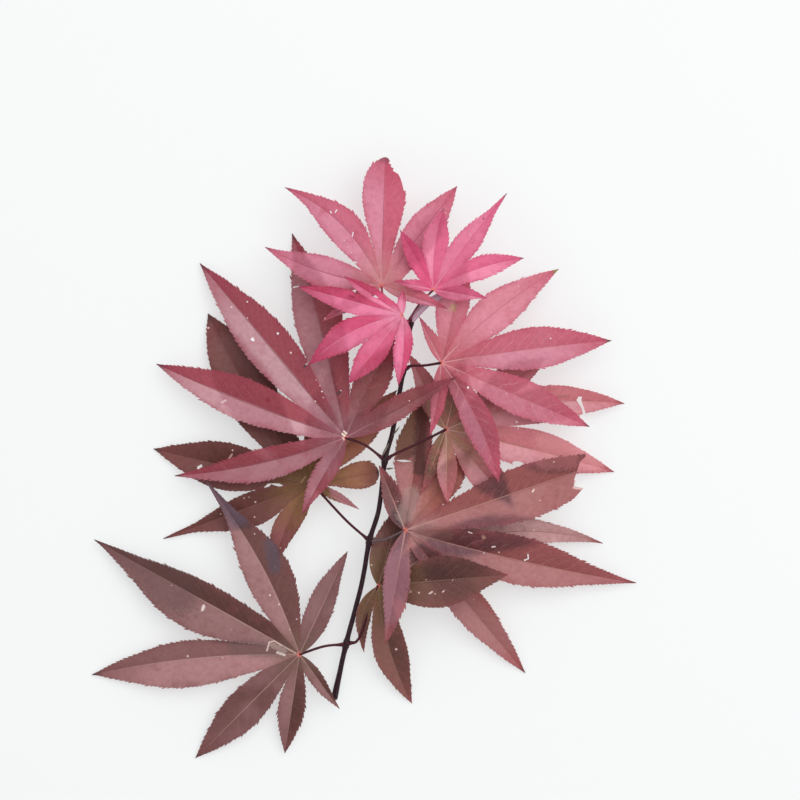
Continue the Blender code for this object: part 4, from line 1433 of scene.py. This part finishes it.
def blade_finish():
    """The shared pattern of a blade: its colours with painted light and shade, painted backlight shade,
    margin and tip, its veins and relief.
    """
    group = bpy.data.node_groups.new("blade_finish", "ShaderNodeTree")
    for way, sockets in (("INPUT", INPUTS), ("OUTPUT", OUTPUTS)):
        for title, kind in sockets.items():
            group.interface.new_socket(title, in_out=way, socket_type=kind)
    source = add(group, "NodeGroupInput").outputs
    given = {title: Value(source[title]) for title in INPUTS}
    place = object_place(group)
    along, across = map_values(group, "place_on_lobe")
    facing_light, share = map_values(group, "facing_light_and_share")
    edge, painted_backlight_shade = map_values(group, "edge_and_painted_backlight_shade")
    tone, level = map_values(group, "tone_and_level")
    aside = across.work("ABSOLUTE")
    blotches = noise(place, BLOTCH_SCALE)
    clouds = noise(place, CLOUD_SCALE, detail=4.0)
    grain = noise(place, GRAIN_SCALE, detail=4.0)

    # The colours of the lobe's halves, painted light on one and painted shade on the other, of the heart, and
    # of the painted backlight shade where another leaf lies beneath.
    drift = (blotches - 0.5) * DRIFT
    colour = mix(step(facing_light + drift, "lit"), given["dark"], given["light"])
    colour = mix(tone, colour, given["second"])
    from_hub = (along * along + aside * aside).work("SQRT")
    colour = mix(step(from_hub / given["reach"], "heart"), colour, given["heart"])
    # Painted shade where another leaf lies beneath, as less light comes through the blade there.
    colour = mix(painted_backlight_shade, colour, given["painted_backlight_shade"], "MULTIPLY")
    # Each lobe's level, partly painted light and shade.
    colour = vector_work("SCALE", {0: colour, "Scale": level})

    # The margin, the tip and the patches between.
    to_margin = edge**MARGIN_POWER * step(clouds, "margin")
    to_tip = step(share + drift * TIP_DRIFT, "tip")
    tinted = step(clouds, "patches").work("MAXIMUM", to_margin.work("MAXIMUM", to_tip))
    colour = mix(tinted, colour, given["tip"])
    colour = mix(step(grain, "grime"), colour, GRIME_COLOUR, "MULTIPLY")
    colour = mix(step(share, "beak"), colour, given["beak"])

    # The midrib, the side veins and the web of small ones.
    forward = aside * VEIN_SLANT + aside * aside * VEIN_CURVE
    phase = (along - forward) / VEIN_SPACING + blotches * VEIN_WANDER
    phase = phase + noise(place, RIPPLE_SCALE, detail=1.0) * VEIN_RIPPLE
    phase = phase + across.work("GREATER_THAN", 0.0) * VEIN_STAGGER
    side_vein = step(phase.work("PINGPONG", 0.5), "side_vein")
    side_vein = side_vein * step(edge, "side_vein_ends") * step(clouds, "side_vein_fades")
    midrib = step(aside / step(share, "rib_width"), "rib") * step(share, "rib_fades")
    web = step(Value(cells(place, WEB_SCALE, "DISTANCE_TO_EDGE")["Distance"]), "web")
    lines = (side_vein * given["veins"]).work("MAXIMUM", web * WEB_STRENGTH)
    colour = mix(lines, colour, given["vein"])
    colour = mix(midrib, colour, mix(step(along, "rib_foot"), given["rib"], given["vein"]))
    colour = mix(step(from_hub, "hub"), colour, HUB_COLOUR)

    # Specks: a cell has one where its chance is high.
    speckles = cells(place, SPECK_SCALE)
    chances = add(group, "ShaderNodeSeparateColor", {0: Value(speckles["Color"])}).outputs
    speck = Value(speckles["Distance"]).work("LESS_THAN", step(Value(chances[1]), "speck_size"))
    crowding = step(blotches, "crowding") + edge * SPECK_AT_MARGIN
    chosen = (Value(chances[0]) + crowding).work("GREATER_THAN", SPECK_RARITY)
    colour = mix(speck * chosen * SPECK_STRENGTH, colour, SPECK_COLOUR)

    relief = (side_vein * SIDE_VEIN_RELIEF).work("MAXIMUM", midrib)
    height = relief * RIB_RELIEF + grain * GRAIN_RELIEF + web * WEB_RELIEF
    results = {"Color": colour, "Roughness": step(grain, "gloss"), "Height": height}
    add(group, "NodeGroupOutput", results)
    return group


def plain_material(title):
    made = bpy.data.materials.new(title)
    made.use_nodes = True
    return made, made.node_tree, made.node_tree.nodes["Principled BSDF"]


def bump(height, distance, strength):
    inputs = {"Strength": strength, "Distance": distance, "Height": height}
    return Value(add(height.tree, "ShaderNodeBump", inputs).outputs[0])


def mark_share(place, ends, radius, strength, wavering):
    """The mark's strength on the line between its ends, falling to 0 at its radius from that line.

    The way from the line is multiplied by the wavering number, which makes the mark's edge uneven.
    """
    start, end = np.array(ends[:2]), np.array(ends[-2:])
    foot = (np.array([*start, 0.0]) + LAYOUT_TO_ORIGIN) * MM
    flat = vector_work("MULTIPLY", {0: vector_work("SUBTRACT", {0: place, 1: foot}), 1: (1.0, 1.0, 0.0)})
    way = end - start
    if way.any():
        run = vector_work("DOT_PRODUCT", {0: flat, 1: (*(way / (way @ way) / MM), 0.0)}, "Value")
        share = Value(add(place.tree, "ShaderNodeClamp", {"Value": run}).outputs[0])
        reached = vector_work("SCALE", {0: (*(way * MM), 0.0), "Scale": share})
        flat = vector_work("SUBTRACT", {0: flat, 1: reached})
    away = vector_work("LENGTH", {0: flat}, "Value") * wavering
    return ramp(away, MARK_CORE * radius * MM, MARK_EDGE * radius * MM, strength, 0.0)


def blade_material(name, group):
    """A leaf's colours in the shared pattern, painted light and shade among them, with its marks and a soft
    gloss.
    """
    made, tree, shader = plain_material(name + "_blade")
    palette = PALETTES[name]
    inputs = {title: paint(*getattr(palette, title)) for title in COLOUR_INPUTS}
    inputs |= {title: getattr(palette, title) for title in NUMBER_INPUTS}
    pattern = add(tree, "ShaderNodeGroup", node_tree=group)
    set_inputs(pattern, inputs)
    colour, roughness, height = (Value(pattern.outputs[title]) for title in OUTPUTS)
    place = object_place(tree)
    wavering = step(noise(place, MARK_EDGE_SCALE, detail=2.0), "mark_edge")
    for marks in MARKS.get(name, []):
        for *ends, radius in marks.places:
            share = mark_share(place, ends, radius, marks.strength, wavering)
            colour = mix(share, colour, paint(*marks.colour))
    normal = bump(height, *BLADE_BUMP)
    set_inputs(shader, {"Base Color": colour, "Roughness": roughness, "Normal": normal, **BLADE_GLOSS})
    return made


def bark_material(title, dark, light, speck, stretch, roughness):
    """Bark on a tube: streaks lengthwise, from noise squeezed across, with pale specks and a fine relief."""
    made, tree, shader = plain_material(title)
    along, around = map_values(tree, "place_on_tube")
    _, turned = map_values(tree, "share_of_tube")
    joined = add(tree, "ShaderNodeCombineXYZ", {0: along * stretch, 1: around, 2: turned})
    streaks = noise(Value(joined.outputs[0]), STREAK_SCALE, detail=5.0)
    spots = step(Value(cells(object_place(tree), BARK_SPOT_SCALE)["Distance"]), "bark_spots")
    colour = mix(step(streaks, "streaks"), paint(*dark), paint(*light))
    colour = mix(spots * BARK_SPOT_STRENGTH, colour, paint(*speck))
    low, high = (roughness + change for change in BARK_ROUGHNESS_SPREAD)
    gloss = ramp(streaks, *BARK_GLOSS_STEP, low, high)
    normal = bump(streaks + spots * BARK_SPOT_RELIEF, *BARK_BUMP)
    set_inputs(shader, {"Base Color": colour, "Roughness": gloss, "Normal": normal, **BARK_GLOSS})
    return made


def finish_piece(piece, material, node):
    piece.data.materials.clear()
    piece.data.materials.append(material)
    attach(piece, "root")
    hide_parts(node)


def build_leaves(draws):
    for name, changes in LOBE_CHANGES.items():
        for index, change in changes.items():
            LEAVES[name].lobes[index] = LEAVES[name].lobes[index]._replace(**change)
    cover = CoverMap(MAP_REACH, MAP_CELL)
    for name, leaf in LEAVES.items():
        cover.add(name, lobe_frames(leaf))
    group = blade_finish()
    for name, leaf in LEAVES.items():
        blade = blade_piece(name, leaf, cover, draws)
        finish_piece(blade, blade_material(name, group), name)
        dark, light, speck = PETIOLE_COLOURS.get(name, PETIOLE_COLOURS["usual"])
        bark = bark_material(name + "_petiole", dark, light, speck, *BARK_FINISHES["petiole"])
        finish_piece(petiole_piece(name, leaf), bark, name)


def build_wood(draws):
    barks = {"stem": STEM_COLOURS, "bud_scales": BUD_COLOURS, "young_shoot": SHOOT_COLOURS}
    barks = {title: bark_material(title, *colours, *BARK_FINISHES[title]) for title, colours in barks.items()}
    finish_piece(stem_piece(draws), barks["stem"], "stem")
    for name, sizes in BUDS.items():
        finish_piece(bud_piece(name, *sizes), barks["bud_scales"], "stem")
    finish_piece(shoot_piece(), barks["young_shoot"], "young_shoot")


def build_studio():
    """A pale light table, a soft light from the upper right, pale surroundings, a camera straight above."""
    half = FLOOR_SIZE / 2
    corners = np.array([[-half, -half, 0.0], [half, -half, 0.0], [half, half, 0.0], [-half, half, 0.0]])
    mesh = bpy.data.meshes.new("floor")
    mesh.from_pydata((corners * MM).tolist(), [], [(0, 1, 2, 3)])
    floor = shown("floor", mesh)
    made, _, shader = plain_material("floor")
    pale = paint(*FLOOR_COLOUR)
    set_inputs(shader, {"Base Color": pale, "Roughness": FLOOR_ROUGHNESS})
    set_inputs(shader, {"Emission Color": pale, "Emission Strength": FLOOR_GLOW})
    mesh.materials.append(made)

    for title, (azimuth, elevation, distance, size, power, tint) in LIGHTS.items():
        lamp = bpy.data.lights.new(title, "AREA")
        lamp.shape = "DISK"
        lamp.size = size
        lamp.energy = power
        lamp.color = tint
        stand = shown(title, lamp)
        turn, rise = math.radians(azimuth), math.radians(elevation)
        aside = distance * math.cos(rise)
        stand.location = (aside * math.cos(turn), aside * math.sin(turn), distance * math.sin(rise))
        stand.rotation_euler = (math.pi / 2 - rise, 0.0, turn + math.pi / 2)

    world = bpy.data.worlds.new("surroundings")
    world.use_nodes = True
    sky = {"Color": paint(*SKY_COLOUR), "Strength": SKY_STRENGTH}
    set_inputs(world.node_tree.nodes["Background"], sky)
    bpy.context.scene.world = world

    lens = bpy.data.cameras.new("camera")
    lens.lens = LENS
    lens.sensor_width = SENSOR
    lens.clip_start = CLIP_START
    lens.clip_end = CLIP_END
    camera = shown("camera", lens)
    middle = LAYOUT_TO_ORIGIN[:2] * MM
    camera.location = (middle[0], middle[1], LEAF_LEVEL * MM + FRAME_WIDTH * MM * LENS / SENSOR)
    bpy.context.scene.camera = camera
    bpy.context.scene.view_settings.view_transform = "Standard"


draws = np.random.default_rng(SEED)
build_leaves(draws)
build_wood(draws)
build_studio()
